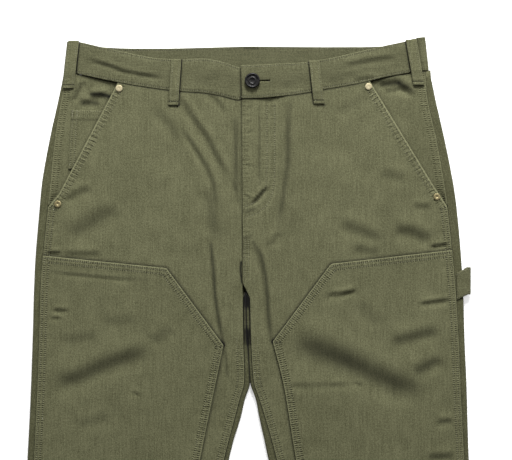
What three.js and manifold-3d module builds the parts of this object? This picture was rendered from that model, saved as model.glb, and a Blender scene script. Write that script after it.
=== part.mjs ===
// Utility pants in cotton twill, laid flat on a surface with the front up.
// Millimetres. X runs to the wearer's left, Y towards the waist, Z up from the surface.
// The origin is the middle of the garment's outline, on the surface.
// "drop" is the distance down the garment from the level of its highest side, against Y.

import * as THREE from "three";
import { mergeVertices } from "three/addons/utils/BufferGeometryUtils.js";
import Module from "manifold-3d";

const WAIST_Y = 531.6; // Y where drop is 0, half of the garment's length as laid
const CLOTH = 1.4; // one layer of twill with its turned edges
const COIN_CLOTH = 1.2; // the coin pocket, which has no bulk in it
const BAND = 2.3; // the waistband, which is doubled
const LOOP = 1.6; // belt loop and hammer loop straps
const SEAM_GAP = 0.5; // between two pieces that meet edge to edge
const LAYER_GAP = 0.3; // between two pieces that lie on each other
const SIDE_HEIGHT = 6.2; // top of the cloth where a front meets the back's turn
const TURN = 3.1; // how far a side fold takes to turn from the front to the surface
const CROWN = 0.5; // how much a panel rises between its seams
const FLY_LIFT = 1.8; // how far the fly stands over the other front
const FLY_LAP = 12; // how far the other front runs on under the fly
const POCKET_LAP = 22; // how far a pocket facing runs on under the front
const FACING_TOP = 2.95; // top of the facing under the slanted edge
const LOOP_CHANNEL = 1.5; // lift of the back waistband over the loop under it
const HEM_DROP = 1065;
const CROTCH_DROP = 306;
const FLY_END_DROP = 248;

// The outer side of each leg: x of the fold and of the outseam, which sits on the front.
const OUTSEAM = {
  right: [
    { drop: 44, fold: -230.6, seam: -226.6 },
    { drop: 77, fold: -237.5, seam: -233.4 },
    { drop: 125, fold: -248.1, seam: -241.3 },
    { drop: 177, fold: -257.5, seam: -246.3 },
    { drop: 211, fold: -260.9, seam: -250 },
    { drop: 272, fold: -266, seam: -256.3 },
    { drop: 316, fold: -268.1, seam: -259.3 },
    { drop: 365, fold: -269.4, seam: -260.6 },
    { drop: 452, fold: -272.5, seam: -263.8 },
    { drop: 527, fold: -276.3, seam: -267.5 },
    { drop: 665, fold: -283.8, seam: -275 },
    { drop: 817, fold: -294.4, seam: -285.6 },
    { drop: 952, fold: -301.3, seam: -292.5 },
    { drop: HEM_DROP, fold: -306.3, seam: -297.5 },
  ],
  left: [
    { drop: 38, fold: 227, seam: 221 },
    { drop: 77, fold: 235, seam: 224.5 },
    { drop: 127, fold: 246.3, seam: 235.6 },
    { drop: 177, fold: 256.3, seam: 244.4 },
    { drop: 211, fold: 261.3, seam: 249.4 },
    { drop: 265, fold: 266.3, seam: 255 },
    { drop: 324, fold: 269.8, seam: 260 },
    { drop: 377, fold: 271.3, seam: 263.1 },
    { drop: 434, fold: 273.8, seam: 265.4 },
    { drop: 527, fold: 276.6, seam: 270 },
    { drop: 665, fold: 284, seam: 276.5 },
    { drop: 817, fold: 294.4, seam: 286.5 },
    { drop: 952, fold: 301.3, seam: 293.3 },
    { drop: HEM_DROP, fold: 306.3, seam: 298.5 },
  ],
};

// The inner side of each leg. The fold is lowest and widest at height "turn".
const INSEAM = {
  right: [
    { drop: CROTCH_DROP, seam: -7.1, fold: -2.9, turn: 1.4 },
    { drop: 327, seam: -6.6, fold: -2.9, turn: 1.4 },
    { drop: 365, seam: -6.1, fold: -2.3, turn: 1.8 },
    { drop: 389, seam: -5.6, fold: -0.4, turn: 2.6 },
    { drop: 431, seam: -5, fold: 2, turn: TURN },
    { drop: 452, seam: -10.6, fold: -3.8, turn: TURN },
    { drop: 474, seam: -16.3, fold: -8.8, turn: TURN },
    { drop: 502, seam: -23.8, fold: -17.5, turn: TURN },
    { drop: 527, seam: -30, fold: -23.8, turn: TURN },
    { drop: 577, seam: -40.6, fold: -34.4, turn: TURN },
    { drop: 665, seam: -60, fold: -53.8, turn: TURN },
    { drop: 817, seam: -81.9, fold: -75.6, turn: TURN },
    { drop: 952, seam: -97.5, fold: -91.3, turn: TURN },
    { drop: HEM_DROP, seam: -107.5, fold: -101.3, turn: TURN },
  ],
  left: [
    { drop: CROTCH_DROP, seam: -6.6, fold: -2.2, turn: 1.4 },
    { drop: 312, seam: -3.7, fold: -2.2, turn: 1.4 },
    { drop: 318, seam: -0.8, fold: -2.2, turn: 1.4 },
    { drop: 325, seam: 2.4, fold: -2.2, turn: 1.4 },
    { drop: 332, seam: 2.7, fold: -2, turn: 1.4 },
    { drop: 365, seam: 3.5, fold: -1.2, turn: 1.8 },
    { drop: 389, seam: 4.4, fold: 0.8, turn: 2.6 },
    { drop: 431, seam: 7.5, fold: 3.4, turn: TURN },
    { drop: 452, seam: 14.4, fold: 9.6, turn: TURN },
    { drop: 474, seam: 21.3, fold: 13.8, turn: TURN },
    { drop: 502, seam: 29.4, fold: 20, turn: TURN },
    { drop: 527, seam: 36, fold: 25.4, turn: TURN },
    { drop: 577, seam: 46.8, fold: 37.5, turn: TURN },
    { drop: 665, seam: 62, fold: 53.8, turn: TURN },
    { drop: 817, seam: 83.8, fold: 75.6, turn: TURN },
    { drop: 952, seam: 98.8, fold: 90.6, turn: TURN },
    { drop: HEM_DROP, seam: 109.5, fold: 101.3, turn: TURN },
  ],
};

// Slanted pocket edges, from the waistband to the outseam.
const SLANT = {
  right: { topX: -163, topDrop: 56, footX: -236.3, footDrop: 194.4, endDrop: 211 },
  left: { topX: 152.5, topDrop: 54, footX: 232, footDrop: 184.4, endDrop: 211 },
};

// The waistband's edges as they lie, with the front dipped below the back.
const BAND_EDGES = {
  right: [
    { x: -214, top: 4.3, foot: 44.6 },
    { x: -164, top: 15.6, foot: 55.1 },
    { x: -117, top: 24.9, foot: 63 },
    { x: -84, top: 26.6, foot: 66.8 },
    { x: -56, top: 25.8, foot: 68.7 },
    { x: -34, top: 29.4, foot: 72.4 },
    { x: -12, top: 36.5, foot: 77.6 },
    { x: -5, top: 38, foot: 74.6 },
    { x: 24, top: 38.5, foot: 74.2 },
  ],
  left: [
    { x: -8.6, top: 34.2, foot: 75.9 },
    { x: 20, top: 33.6, foot: 75 },
    { x: 43, top: 31.8, foot: 72.6 },
    { x: 65, top: 30.8, foot: 69.9 },
    { x: 100, top: 25.8, foot: 63.6 },
    { x: 137, top: 17.5, foot: 56.9 },
    { x: 173, top: 9.3, foot: 48.6 },
    { x: 199, top: 3.8, foot: 43.9 },
    { x: 212, top: 0.6, foot: 40.9 },
  ],
};
const BAND_BACK = [
  { x: -230, top: 4.6, foot: 44.2 },
  { x: -210, top: 4.8, foot: 45 },
  { x: -180, top: 11, foot: 47.6 },
  { x: -110, top: 12.5, foot: 52 },
  { x: 0, top: 10.2, foot: 53.6 },
  { x: 110, top: 10.6, foot: 50.6 },
  { x: 180, top: 8.8, foot: 44.2 },
  { x: 205, top: 0.9, foot: 41.2 },
  { x: 228, top: -1.6, foot: 40.2 },
];
const BAND_FOLD = { right: -228.5, left: 224.5 };
const BAND_JOIN = { right: -214.4, left: 212.4 };

// The double front on each leg: its corners, and its inner edge down to its lower edge.
const KNEE = {
  right: {
    outer: 272, corner: { x: -102, drop: 287.6 }, notch: { x: -30.5, drop: 384 },
    edge: [{ drop: 384, x: -30.5 }, { drop: 527, x: -60 }, { drop: 665, x: -86 },
      { drop: 817, x: -107 }, { drop: HEM_DROP, x: -132 }],
  },
  left: {
    outer: 265, corner: { x: 103.6, drop: 282.3 }, notch: { x: 30.9, drop: 379.5 },
    edge: [{ drop: 379.5, x: 30.9 }, { drop: 434, x: 44.5 }, { drop: 527, x: 60 },
      { drop: 665, x: 88 }, { drop: 817, x: 109 }, { drop: HEM_DROP, x: 134 }],
  },
};
const KNEE_END_DROP = 817;

// The largest folds: a line from which the cloth falls (negative) or rises, and its half width.
const FOLDS = [
  { path: [[-82, 80], [-49, 121]], width: 8, rise: -1.4 },
  { path: [[-81, 115], [-47, 168]], width: 10, rise: -1.3 },
  { path: [[-53, 138], [-22, 175]], width: 8, rise: -1.1 },
  { path: [[-47, 187], [-41, 277]], width: 12, rise: -1.2 },
  { path: [[-219, 245], [-164, 208]], width: 14, rise: -1.2 },
  { path: [[-46, 259], [-36, 359], [-25, 425]], width: 9, rise: -1.4 },
  { path: [[-240, 431], [-210, 420], [-139, 390]], width: 18, rise: -1.9 },
  { path: [[-150, 130], [-90, 175]], width: 16, rise: 0.8 },
  { path: [[-180, 340], [-70, 400]], width: 20, rise: 0.8 },
  { path: [[55, 78], [51, 102], [49, 160], [40, 228], [35, 259]], width: 8, rise: -1.4 },
  { path: [[5, 254], [15, 271], [20, 295], [25, 346], [30, 380]], width: 8, rise: -1.7 },
  { path: [[56, 380], [130, 409], [163, 419], [227, 441]], width: 18, rise: -2.0 },
  { path: [[177, 380], [239, 364]], width: 14, rise: -1.3 },
  { path: [[96, 320], [138, 316]], width: 9, rise: -1.1 },
  { path: [[209, 340], [246, 326]], width: 9, rise: -1.1 },
  { path: [[90, 130], [150, 190]], width: 18, rise: 0.8 },
  { path: [[90, 350], [190, 400]], width: 18, rise: 0.8 },
];

// Belt loops: the middle of the upper and lower end, and the width.
const BELT_LOOPS = {
  front_right: { topX: -89.4, topDrop: 26.6, footX: -93.4, footDrop: 84.4, width: 12.4 },
  front_left: { topX: 82.5, topDrop: 28.4, footX: 88.8, footDrop: 82.5, width: 13 },
  side_right: { topX: -217.6, topDrop: 3.6, footX: -224.4, footDrop: 63.3, width: 13.6 },
  side_left: { topX: 203.6, topDrop: 2.4, footX: 213.4, footDrop: 59.1, width: 13.6 },
};
const BACK_LOOP = { x: 3.5, width: 15, topDrop: 10.6, footDrop: 52 };
const HAMMER_LOOP = { topDrop: 288, footDrop: 323 };
const BUTTON = { x: 5.5, drop: 53.9, radius: 9.6, height: 3.4, shank: 2.6, slitEnd: 27.4 };
const RIVET = { radius: 4.3, height: 1.3 };
const RIVETS = {
  right_top: { x: -161, drop: 63 },
  right_foot: { x: -237.6, drop: 207.5 },
  left_top: { x: 150.6, drop: 60.8 },
  left_foot: { x: 236.1, drop: 198.5 },
};

const twill = new THREE.MeshStandardMaterial({ color: 0x6b6b4c, roughness: 0.9, metalness: 0 });
const darkMetal = new THREE.MeshStandardMaterial({ color: 0x3b3a38, roughness: 0.4, metalness: 1 });
const paleMetal = new THREE.MeshStandardMaterial({ color: 0xb9ab87, roughness: 0.35, metalness: 1 });

const SIDE_SIGN = { right: -1, left: 1 };
const mix = (a, b, t) => a + (b - a) * t;

function ease(from, to, value) {
  const t = Math.min(1, Math.max(0, (value - from) / (to - from)));
  return t * t * (3 - 2 * t);
}

// A smooth curve through one column of a table, read at a value of its key column.
function along(table, key, column, value) {
  const last = table.length - 1;
  if (value <= table[0][key]) return table[0][column];
  if (value >= table[last][key]) return table[last][column];
  const i = table.findIndex((row) => row[key] > value) - 1;
  const slope = (k) => {
    const a = table[Math.max(0, k - 1)];
    const b = table[Math.min(last, k + 1)];
    return (b[column] - a[column]) / (b[key] - a[key]);
  };
  const span = table[i + 1][key] - table[i][key];
  const t = (value - table[i][key]) / span;
  const bend = t * (1 - t) * span * ((1 - t) * slope(i) - t * slope(i + 1));
  const blend = ease(0, 1, t);
  return mix(table[i][column], table[i + 1][column], blend) + bend;
}

const at = (x, drop, z) => new THREE.Vector3(x, WAIST_Y - drop, z);

// Distance from a point to a fold's line, and how far along the line it lies, from 0 to 1.
function nearFold(path, x, drop) {
  let best = { distance: Infinity, share: 0 };
  for (let i = 0; i + 1 < path.length; i++) {
    const [ax, ad] = path[i];
    const [bx, bd] = path[i + 1];
    const length = (bx - ax) ** 2 + (bd - ad) ** 2;
    const t = Math.min(1, Math.max(0, ((x - ax) * (bx - ax) + (drop - ad) * (bd - ad)) / length));
    const distance = Math.hypot(x - mix(ax, bx, t), drop - mix(ad, bd, t));
    if (distance < best.distance) best = { distance, share: (i + t) / (path.length - 1) };
  }
  return best;
}

function foldRise(x, drop) {
  return FOLDS.reduce((sum, fold) => {
    const { distance, share } = nearFold(fold.path, x, drop);
    const fade = ease(0, 0.25, share) * ease(1, 0.75, share);
    return sum + fold.rise * Math.exp(-((distance / fold.width) ** 2)) * (0.35 + 0.65 * fade);
  }, 0);
}

const outseamX = (side, drop) => along(OUTSEAM[side], "drop", "seam", drop);
const outerFoldX = (side, drop) => along(OUTSEAM[side], "drop", "fold", drop);
const bandFoot = (side, x) => along(BAND_EDGES[side], "x", "foot", x);
const bandTop = (side, x) => along(BAND_EDGES[side], "x", "top", x);

// The fly edge of the left front, then the crotch seam.
const flyX = (drop) => mix(-7.3, -6.6, ease(79, FLY_END_DROP, drop));

// How far the right front runs on past that edge, under the fly.
function flyLap(drop) {
  const straight = mix(FLY_LAP, 4, ease(180, 221, drop));
  return mix(straight, -SEAM_GAP, ease(210, FLY_END_DROP - 16, drop));
}

function flyLift(x, drop) {
  const reach = flyX(drop) + Math.max(0, flyLap(drop)) + 2;
  return FLY_LIFT * ease(reach + 22, reach, x) * ease(FLY_END_DROP + 22, FLY_END_DROP, drop);
}

// Height of a front's outer face.
function frontTop(side, x, drop) {
  const outer = outseamX(side, drop);
  const inner = drop < CROTCH_DROP ? flyX(drop) : along(INSEAM[side], "drop", "seam", drop);
  const across = Math.min(1, Math.max(0, (x - outer) / (inner - outer)));
  const crown = CROWN * Math.sin(Math.PI * across);
  const slant = SLANT[side];
  const edge = slantX(side, drop);
  const clear = ease(0, 16, Math.abs(x - edge));
  const nearSlant = drop < slant.endDrop ? clear : 1;
  const nearFly = side === "right" ? ease(flyX(drop), flyX(drop) - 8, x) : 1;
  const calm = Math.min(nearSlant, drop < FLY_END_DROP + 14 ? nearFly : 1) * ease(HEM_DROP, 1000, drop);
  const lift = side === "left" ? flyLift(x, drop) : 0;
  return SIDE_HEIGHT + crown + calm * foldRise(x, drop) * ease(0, 0.04, across) + lift;
}

// The slanted pocket edge as x at a drop; below its end it is the outseam.
function slantX(side, drop) {
  const s = SLANT[side];
  if (drop >= s.endDrop) return outseamX(side, drop);
  if (drop > s.footDrop) {
    return mix(s.footX, outseamX(side, s.endDrop), (drop - s.footDrop) / (s.endDrop - s.footDrop));
  }
  return mix(s.topX, s.footX, (drop - s.topDrop) / (s.footDrop - s.topDrop));
}

function innerX(side, drop) {
  if (drop >= CROTCH_DROP) return along(INSEAM[side], "drop", "seam", drop);
  return side === "right" ? flyX(drop) + flyLap(drop) : flyX(drop);
}

// A closed wall from two grids of points with the same rows and columns.
function wall(outer, inner) {
  const rows = outer.length;
  const columns = outer[0].length;
  const points = [...outer.flat(), ...inner.flat()];
  const half = rows * columns;
  const index = [];
  const quad = (a, b, c, d) => index.push(a, b, c, a, c, d);
  for (let r = 0; r + 1 < rows; r++) {
    for (let c = 0; c + 1 < columns; c++) {
      const a = r * columns + c;
      quad(a, a + 1, a + columns + 1, a + columns);
      quad(half + a, half + a + columns, half + a + columns + 1, half + a + 1);
    }
  }
  const rim = [];
  for (let c = 0; c + 1 < columns; c++) rim.push([c, c + 1]);
  for (let r = 0; r + 1 < rows; r++) rim.push([(r + 1) * columns - 1, (r + 2) * columns - 1]);
  for (let c = columns - 1; c > 0; c--) rim.push([half - columns + c, half - columns + c - 1]);
  for (let r = rows - 1; r > 0; r--) rim.push([r * columns, (r - 1) * columns]);
  rim.forEach(([a, b]) => quad(b, a, half + a, half + b));
  const geometry = new THREE.BufferGeometry().setFromPoints(points);
  geometry.setIndex(index);
  if (signedVolume(geometry) < 0) geometry.setIndex(index.reverse());
  return geometry;
}

function signedVolume(geometry) {
  const p = geometry.getAttribute("position");
  const corner = [new THREE.Vector3(), new THREE.Vector3(), new THREE.Vector3()];
  let volume = 0;
  for (let i = 0; i < geometry.index.count; i += 3) {
    corner.forEach((v, k) => v.fromBufferAttribute(p, geometry.index.getX(i + k)));
    volume += corner[0].dot(corner[1].clone().cross(corner[2]));
  }
  return volume;
}

const lowered = (grid, by) => grid.map((row) => row.map((p) => p.clone().setZ(p.z - by)));
const raised = (grid, by) => lowered(grid, -by);

const garment = new THREE.Group();
function addPiece(name, geometry, material) {
  geometry.computeVertexNormals();
  const mesh = new THREE.Mesh(geometry, material);
  mesh.name = name;
  garment.add(mesh);
}

// A front's grid. Its rows follow the waistband, then the top of the double front, then the hem,
// and its columns follow the outer edge, the double front's corner and inner edge, and the inseam.
const COLUMNS = { outer: 8, slope: 4, inner: 2 };
const BANDS_OF_ROWS = [
  { from: "waist", to: "pocketFoot", rows: 11 },
  { from: "pocketFoot", to: "crotch", rows: 4 },
  { from: "crotch", to: "kneeTop", rows: 4 },
  { from: "kneeTop", to: "thigh", rows: 12 },
  { from: "thigh", to: "kneeEnd", rows: 5 },
  { from: "kneeEnd", to: "hem", rows: 4 },
];
const KNEE_ROWS = { first: 19, last: 36 }; // the double front's top and bottom row

function guideRows(side) {
  const knee = KNEE[side];
  const sign = SIDE_SIGN[side];
  const level = (drop, cornerX, notchX) => ({
    drops: [drop, drop, drop, drop], cornerX, notchX,
  });
  const edgeAt = (drop) => along(knee.edge, "drop", "x", drop);
  const halfway = (drop) => mix(outseamX(side, drop), edgeAt(drop), 0.66);
  return {
    waist: { drops: null, cornerX: sign * 92, notchX: sign * 34 },
    pocketFoot: level(211, sign * 106, sign * 34),
    crotch: {
      drops: [mix(211, knee.outer, 0.52), mix(211, knee.corner.drop, 0.52),
        mix(211, knee.notch.drop, 0.52), CROTCH_DROP],
      cornerX: sign * 105, notchX: sign * 33,
    },
    kneeTop: {
      drops: [knee.outer, knee.corner.drop, knee.notch.drop, knee.notch.drop + 3],
      cornerX: knee.corner.x, notchX: knee.notch.x,
    },
    thigh: level(527, halfway(527), edgeAt(527)),
    kneeEnd: level(KNEE_END_DROP, halfway(KNEE_END_DROP), edgeAt(KNEE_END_DROP)),
    hem: level(HEM_DROP, halfway(HEM_DROP), edgeAt(HEM_DROP)),
  };
}

function waistRow(side, guide) {
  const topDrop = SLANT[side].topDrop;
  const xs = [slantX(side, topDrop), guide.cornerX, guide.notchX, innerX(side, 79)];
  return xs.map((x) => ({ x, drop: bandFoot(side, x) + SEAM_GAP }));
}

// The four posts of a row: outer edge, corner column, notch column, inner edge.
function rowPosts(side, guides, band, share) {
  const a = guides[band.from];
  const b = guides[band.to];
  if (!a.drops) {
    const start = waistRow(side, a);
    const drops = start.map((post, k) => mix(post.drop, b.drops[k], share));
    const corner = mix(a.cornerX, b.cornerX, share);
    const notch = mix(a.notchX, b.notchX, share);
    return [slantX(side, drops[0]), corner, notch, innerX(side, drops[3])]
      .map((x, k) => ({ x, drop: drops[k] }));
  }
  const drops = a.drops.map((drop, k) => mix(drop, b.drops[k], share));
  const { edge, outer } = KNEE[side];
  const onEdge = a.drops[0] >= outer;
  const notch = onEdge ? along(edge, "drop", "x", drops[2]) : mix(a.notchX, b.notchX, share);
  return [slantX(side, drops[0]), mix(a.cornerX, b.cornerX, share), notch, innerX(side, drops[3])]
    .map((x, k) => ({ x, drop: drops[k] }));
}

function spread(posts) {
  const counts = [COLUMNS.outer, COLUMNS.slope, COLUMNS.inner];
  const row = [posts[0]];
  counts.forEach((count, k) => {
    for (let i = 1; i <= count; i++) {
      const t = i / count;
      row.push({ x: mix(posts[k].x, posts[k + 1].x, t), drop: mix(posts[k].drop, posts[k + 1].drop, t) });
    }
  });
  return row;
}

function frontGrid(side) {
  const guides = guideRows(side);
  const rows = [];
  BANDS_OF_ROWS.forEach((band, k) => {
    for (let i = k ? 1 : 0; i <= band.rows; i++) {
      const row = spread(rowPosts(side, guides, band, i / band.rows));
      if (!k && !i) row.forEach((p) => { p.drop = bandFoot(side, p.x) + SEAM_GAP; });
      rows.push(row.map((p) => at(p.x, p.drop, frontTop(side, p.x, p.drop))));
    }
  });
  return rows;
}

// The back panel across one row: from the centre seam or the front's inseam, down round the
// inner fold, along the surface, round the outer fold, and up to the outseam.
function quarter(cx, cz, rx, rz, from, to) {
  return [0, 1, 2, 3, 4, 5].map((i) => {
    const angle = mix(from, to, i / 5) * Math.PI / 2;
    return { x: cx + rx * Math.cos(angle), z: cz + rz * Math.sin(angle) };
  });
}

const CENTRE_BACK = -2.5;
const WRAP_DROPS = { flat: 304, whole: 325 };

function backLine(side, drop) {
  const sign = SIDE_SIGN[side];
  const outerFold = outerFoldX(side, drop);
  const outerEnd = outseamX(side, drop) + sign * SEAM_GAP;
  const outerTurn = Math.min(TURN, Math.abs(outerFold - outerEnd));
  const outerHalf = [
    ...quarter(outerFold - sign * TURN, TURN, sign * TURN, TURN, -1, 0),
    ...quarter(outerFold - sign * outerTurn, TURN, sign * outerTurn, SIDE_HEIGHT - TURN, 0, 1).slice(1),
    { x: outerEnd, z: SIDE_HEIGHT },
  ];
  const wrap = Math.min(1, Math.max(0, (drop - WRAP_DROPS.flat) / (WRAP_DROPS.whole - WRAP_DROPS.flat)));
  if (wrap === 0) return [{ x: CENTRE_BACK + sign * SEAM_GAP, z: 0 }, ...outerHalf];
  const read = (column) => along(INSEAM[side], "drop", column, Math.max(drop, WRAP_DROPS.whole));
  const fold = read("fold");
  const turn = read("turn");
  const end = read("seam") - sign * SEAM_GAP;
  const innerTurn = Math.min(TURN, Math.abs(fold - end));
  const whole = [
    ...quarter(fold + sign * TURN, turn, -sign * TURN, turn, -1, 0),
    ...quarter(fold + sign * innerTurn, turn, -sign * innerTurn, SIDE_HEIGHT - turn, 0, 1).slice(1),
    { x: end, z: SIDE_HEIGHT },
  ];
  const kept = whole.slice(0, Math.max(2, Math.round(wrap * whole.length)));
  return [...kept.reverse(), ...outerHalf];
}

// Points along a line at the given distances, each with its place on the wall's inner face.
function resample(route, distances, thickness, sign) {
  const apart = (p, q) => Math.hypot(p.x - q.x, p.z - q.z) > 0.01;
  const line = route.filter((p, i) => i === 0 || apart(p, route[i - 1]));
  const lengths = [0];
  for (let i = 1; i < line.length; i++) {
    lengths.push(lengths[i - 1] + Math.hypot(line[i].x - line[i - 1].x, line[i].z - line[i - 1].z));
  }
  return distances(lengths.at(-1)).map((distance) => {
    const i = Math.max(1, lengths.findIndex((l) => l >= distance - 1e-9));
    const [a, b] = [line[i - 1], line[i]];
    const length = lengths[i] - lengths[i - 1];
    const t = (distance - lengths[i - 1]) / length;
    const point = { x: mix(a.x, b.x, t), z: Math.max(0, mix(a.z, b.z, t)) };
    const inner = {
      x: point.x - sign * thickness * (b.z - a.z) / length,
      z: point.z + sign * thickness * (b.x - a.x) / length,
    };
    return { point, inner };
  });
}

// The inner face of a strap or band: each point moved in, square to the line.
function inset(line, by, sign) {
  return line.map((p, i) => {
    const a = line[Math.max(0, i - 1)];
    const b = line[Math.min(line.length - 1, i + 1)];
    const length = Math.hypot(b.x - a.x, b.z - a.z);
    return { x: p.x - sign * by * (b.z - a.z) / length, z: p.z + sign * by * (b.x - a.x) / length };
  });
}

function backDistances(total) {
  const inner = [0, 2.8, 5.6, 8.8, 13];
  const outer = [20, 16, 12.6, 9.6, 6.6, 3.4, 0];
  const middle = [1, 2].map((i) => mix(13, total - 20, i / 3));
  return [...inner, ...middle, ...outer.map((d) => total - d)];
}

const BACK_DROPS = [46, 75, 110, 145, 180, 211, 245, 280, 304, 311, 318, 325, 335, 352, 372, 395,
  418, 431, 442, 460, 490, 527, 590, 665, 740, 817, 910, 1000, HEM_DROP];

function backTopDrop(x) {
  return along(BAND_BACK, "x", "foot", x) + 2 * SEAM_GAP;
}

function backPanel(side) {
  const sign = SIDE_SIGN[side];
  const outer = [];
  const inner = [];
  BACK_DROPS.forEach((drop, r) => {
    const line = resample(backLine(side, drop), backDistances, CLOTH, sign);
    const dropAt = (x) => (r === 0 ? backTopDrop(x) : drop);
    outer.push(line.map(({ point }) => at(point.x, dropAt(point.x), point.z)));
    inner.push(line.map(({ point, inner: p }) => at(p.x, dropAt(point.x), p.z)));
  });
  return wall(outer, inner);
}

// Pocket facing: level with the outseam at its outer edge, down to the slanted edge and on under it.
function facingTop(side, x, drop) {
  const seam = outseamX(side, drop);
  const slant = slantX(side, drop);
  const fall = ease(0, 1, Math.min(1, Math.abs(x - seam) / Math.max(4, Math.abs(slant - seam) - 2)));
  return mix(SIDE_HEIGHT - 0.2, FACING_TOP, fall);
}

const FACING_ROWS = 11;
const FACING_OPEN = 6; // columns between the outseam and the slanted edge
const FACING_UNDER = 3; // columns under the front
const FACING_LEAST_DROP = 40;
const FACING_SHORT = 5; // the facing ends this far above the pocket's lower corner

function facingX(side, drop, c) {
  const sign = SIDE_SIGN[side];
  const seam = outseamX(side, drop) - sign * LAYER_GAP;
  const edge = slantX(side, drop);
  if (c <= FACING_OPEN) return mix(seam, edge, c / FACING_OPEN);
  return edge - sign * POCKET_LAP * (c - FACING_OPEN) / FACING_UNDER;
}

function facingGrid(side) {
  const endDrop = SLANT[side].endDrop - FACING_SHORT;
  return Array.from({ length: FACING_ROWS + 1 }, (_, r) =>
    Array.from({ length: FACING_OPEN + FACING_UNDER + 1 }, (_, c) => {
      const share = r / FACING_ROWS;
      const guess = facingX(side, mix(FACING_LEAST_DROP, endDrop, share), c);
      const top = Math.max(bandFoot(side, guess) + SEAM_GAP, FACING_LEAST_DROP);
      const drop = mix(top, endDrop, share);
      const x = facingX(side, drop, c);
      return at(x, drop, facingTop(side, x, drop));
    }));
}

// Coin pocket: a patch on the right facing, from its outer edge to a little under the slanted edge.
const COIN_POCKET = { topDrop: 90, footDrop: 164, outerTopX: -220.6, outerFootX: -225, under: 12 };
const COIN_ROWS = 6;
const COIN_COLUMNS = 5;

function coinPocketGrid() {
  const pocket = COIN_POCKET;
  return Array.from({ length: COIN_ROWS + 1 }, (_, r) =>
    Array.from({ length: COIN_COLUMNS + 1 }, (_, c) => {
      const drop = mix(pocket.topDrop, pocket.footDrop, r / COIN_ROWS);
      const outer = mix(pocket.outerTopX, pocket.outerFootX, r / COIN_ROWS);
      const x = mix(outer, slantX("right", drop) + pocket.under, c / COIN_COLUMNS);
      return at(x, drop, facingTop("right", x, drop) + 1.5 * LAYER_GAP + COIN_CLOTH);
    }));
}

// Front waistband: it lies over the other end at the fly, and down to the front elsewhere.
const BAND_RISE = 1.0;
function bandTopZ(side, x, share) {
  const lap = side === "left" ? (BAND + LAYER_GAP + 0.2) * ease(58, 26, x) : 0;
  const crease = 0.35 * Math.sin(Math.PI * share * 2);
  return SIDE_HEIGHT + BAND_RISE + crease + lap;
}

const BAND_COLUMNS = 18;
const BAND_ROWS = 4;

function frontBand(side) {
  const table = BAND_EDGES[side];
  const from = table[0].x;
  const to = table.at(-1).x;
  const outer = Array.from({ length: BAND_ROWS + 1 }, (_, r) =>
    Array.from({ length: BAND_COLUMNS + 1 }, (_, c) => {
      const x = mix(from, to, c / BAND_COLUMNS);
      const share = r / BAND_ROWS;
      const lean = side === "left" ? mix(-0.4, 1.2, share) * ease(20, -8.6, x) : 0;
      return at(x + lean, mix(bandTop(side, x), bandFoot(side, x), share), bandTopZ(side, x, share));
    }));
  return { outer, inner: lowered(outer, BAND) };
}

// Back waistband: along the surface, and round both sides to the front bands.
function backBand() {
  const height = SIDE_HEIGHT + BAND_RISE;
  const turn = height / 2;
  const right = quarter(BAND_FOLD.right + turn, turn, -turn, turn, 1, 0);
  const rightDown = quarter(BAND_FOLD.right + turn, turn, -turn, turn, 0, -1).slice(1);
  const leftUp = quarter(BAND_FOLD.left - turn, turn, turn, turn, -1, 0);
  const left = quarter(BAND_FOLD.left - turn, turn, turn, turn, 0, 1).slice(1);
  const floor = [-214, -190, -150, -100, -50, -22, -12.5, -5.5, 3.5, 12.5, 19.5, 29, 60, 110, 155, 185, 208]
    .map((x) => ({ x, z: LOOP_CHANNEL * ease(16, 9.2, Math.abs(x - BACK_LOOP.x)) }));
  const line = [
    { x: BAND_JOIN.right, z: height }, ...right, ...rightDown, ...floor, ...leftUp, ...left,
    { x: BAND_JOIN.left, z: height },
  ];
  const inner = inset(line, BAND - 0.2, 1);
  const grid = (points) => [0, 0.33, 0.67, 1].map((share) =>
    points.map((p, i) => {
      const x = line[i].x;
      return at(p.x, mix(along(BAND_BACK, "x", "top", x), along(BAND_BACK, "x", "foot", x), share), p.z);
    }));
  return wall(grid(line), grid(inner));
}

// A strap laid flat from its upper to its lower end, over the waistband's edge and onto the panel.
function beltLoop(side, loop, panelZ) {
  const steps = 9;
  const outer = Array.from({ length: steps + 1 }, (_, r) => {
    const t = r / steps;
    const drop = mix(loop.topDrop, loop.footDrop, t);
    const x = mix(loop.topX, loop.footX, t);
    const foot = bandFoot(side, x);
    const onBand = SIDE_HEIGHT + BAND_RISE + 0.6;
    const z = mix(onBand, panelZ, ease(foot + 1, foot + 7, drop)) + 0.5 * Math.sin(Math.PI * t) + LOOP;
    return [-0.5, -0.25, 0.25, 0.5].map((k) =>
      at(x + k * loop.width, drop, z - (Math.abs(k) > 0.4 ? 0.3 : 0)));
  });
  return wall(outer, lowered(outer, LOOP - 0.2));
}

function backLoop() {
  const outer = [0, 1, 2, 3].map((r) =>
    [0, 1, 2, 3].map((c) => at(
      BACK_LOOP.x + BACK_LOOP.width * (c / 3 - 0.5),
      mix(BACK_LOOP.topDrop, BACK_LOOP.footDrop, r / 3),
      LOOP_CHANNEL - LAYER_GAP,
    )));
  return wall(outer, lowered(outer, LOOP_CHANNEL - LAYER_GAP));
}

function hammerLoop() {
  const profile = [[261, 8.2], [266, 8.3], [272, 8.5], [276.8, 7.5], [278.8, 4.7], [277.4, 1.7], [274.6, 0.1],
    [271, 0]].map(([x, z]) => ({ x, z }));
  const inner = inset(profile, LOOP, -1);
  const grid = (points) => [0, 0.5, 1].map((t) =>
    points.map((p, i) => {
      const slope = mix(5.5, -1.5, Math.min(1, i / 3)) * (1 - t) + mix(4, -2.5, Math.min(1, i / 3)) * t;
      return at(p.x, mix(HAMMER_LOOP.topDrop, HAMMER_LOOP.footDrop, t) + slope, p.z);
    }));
  return wall(grid(profile), grid(inner));
}

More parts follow.
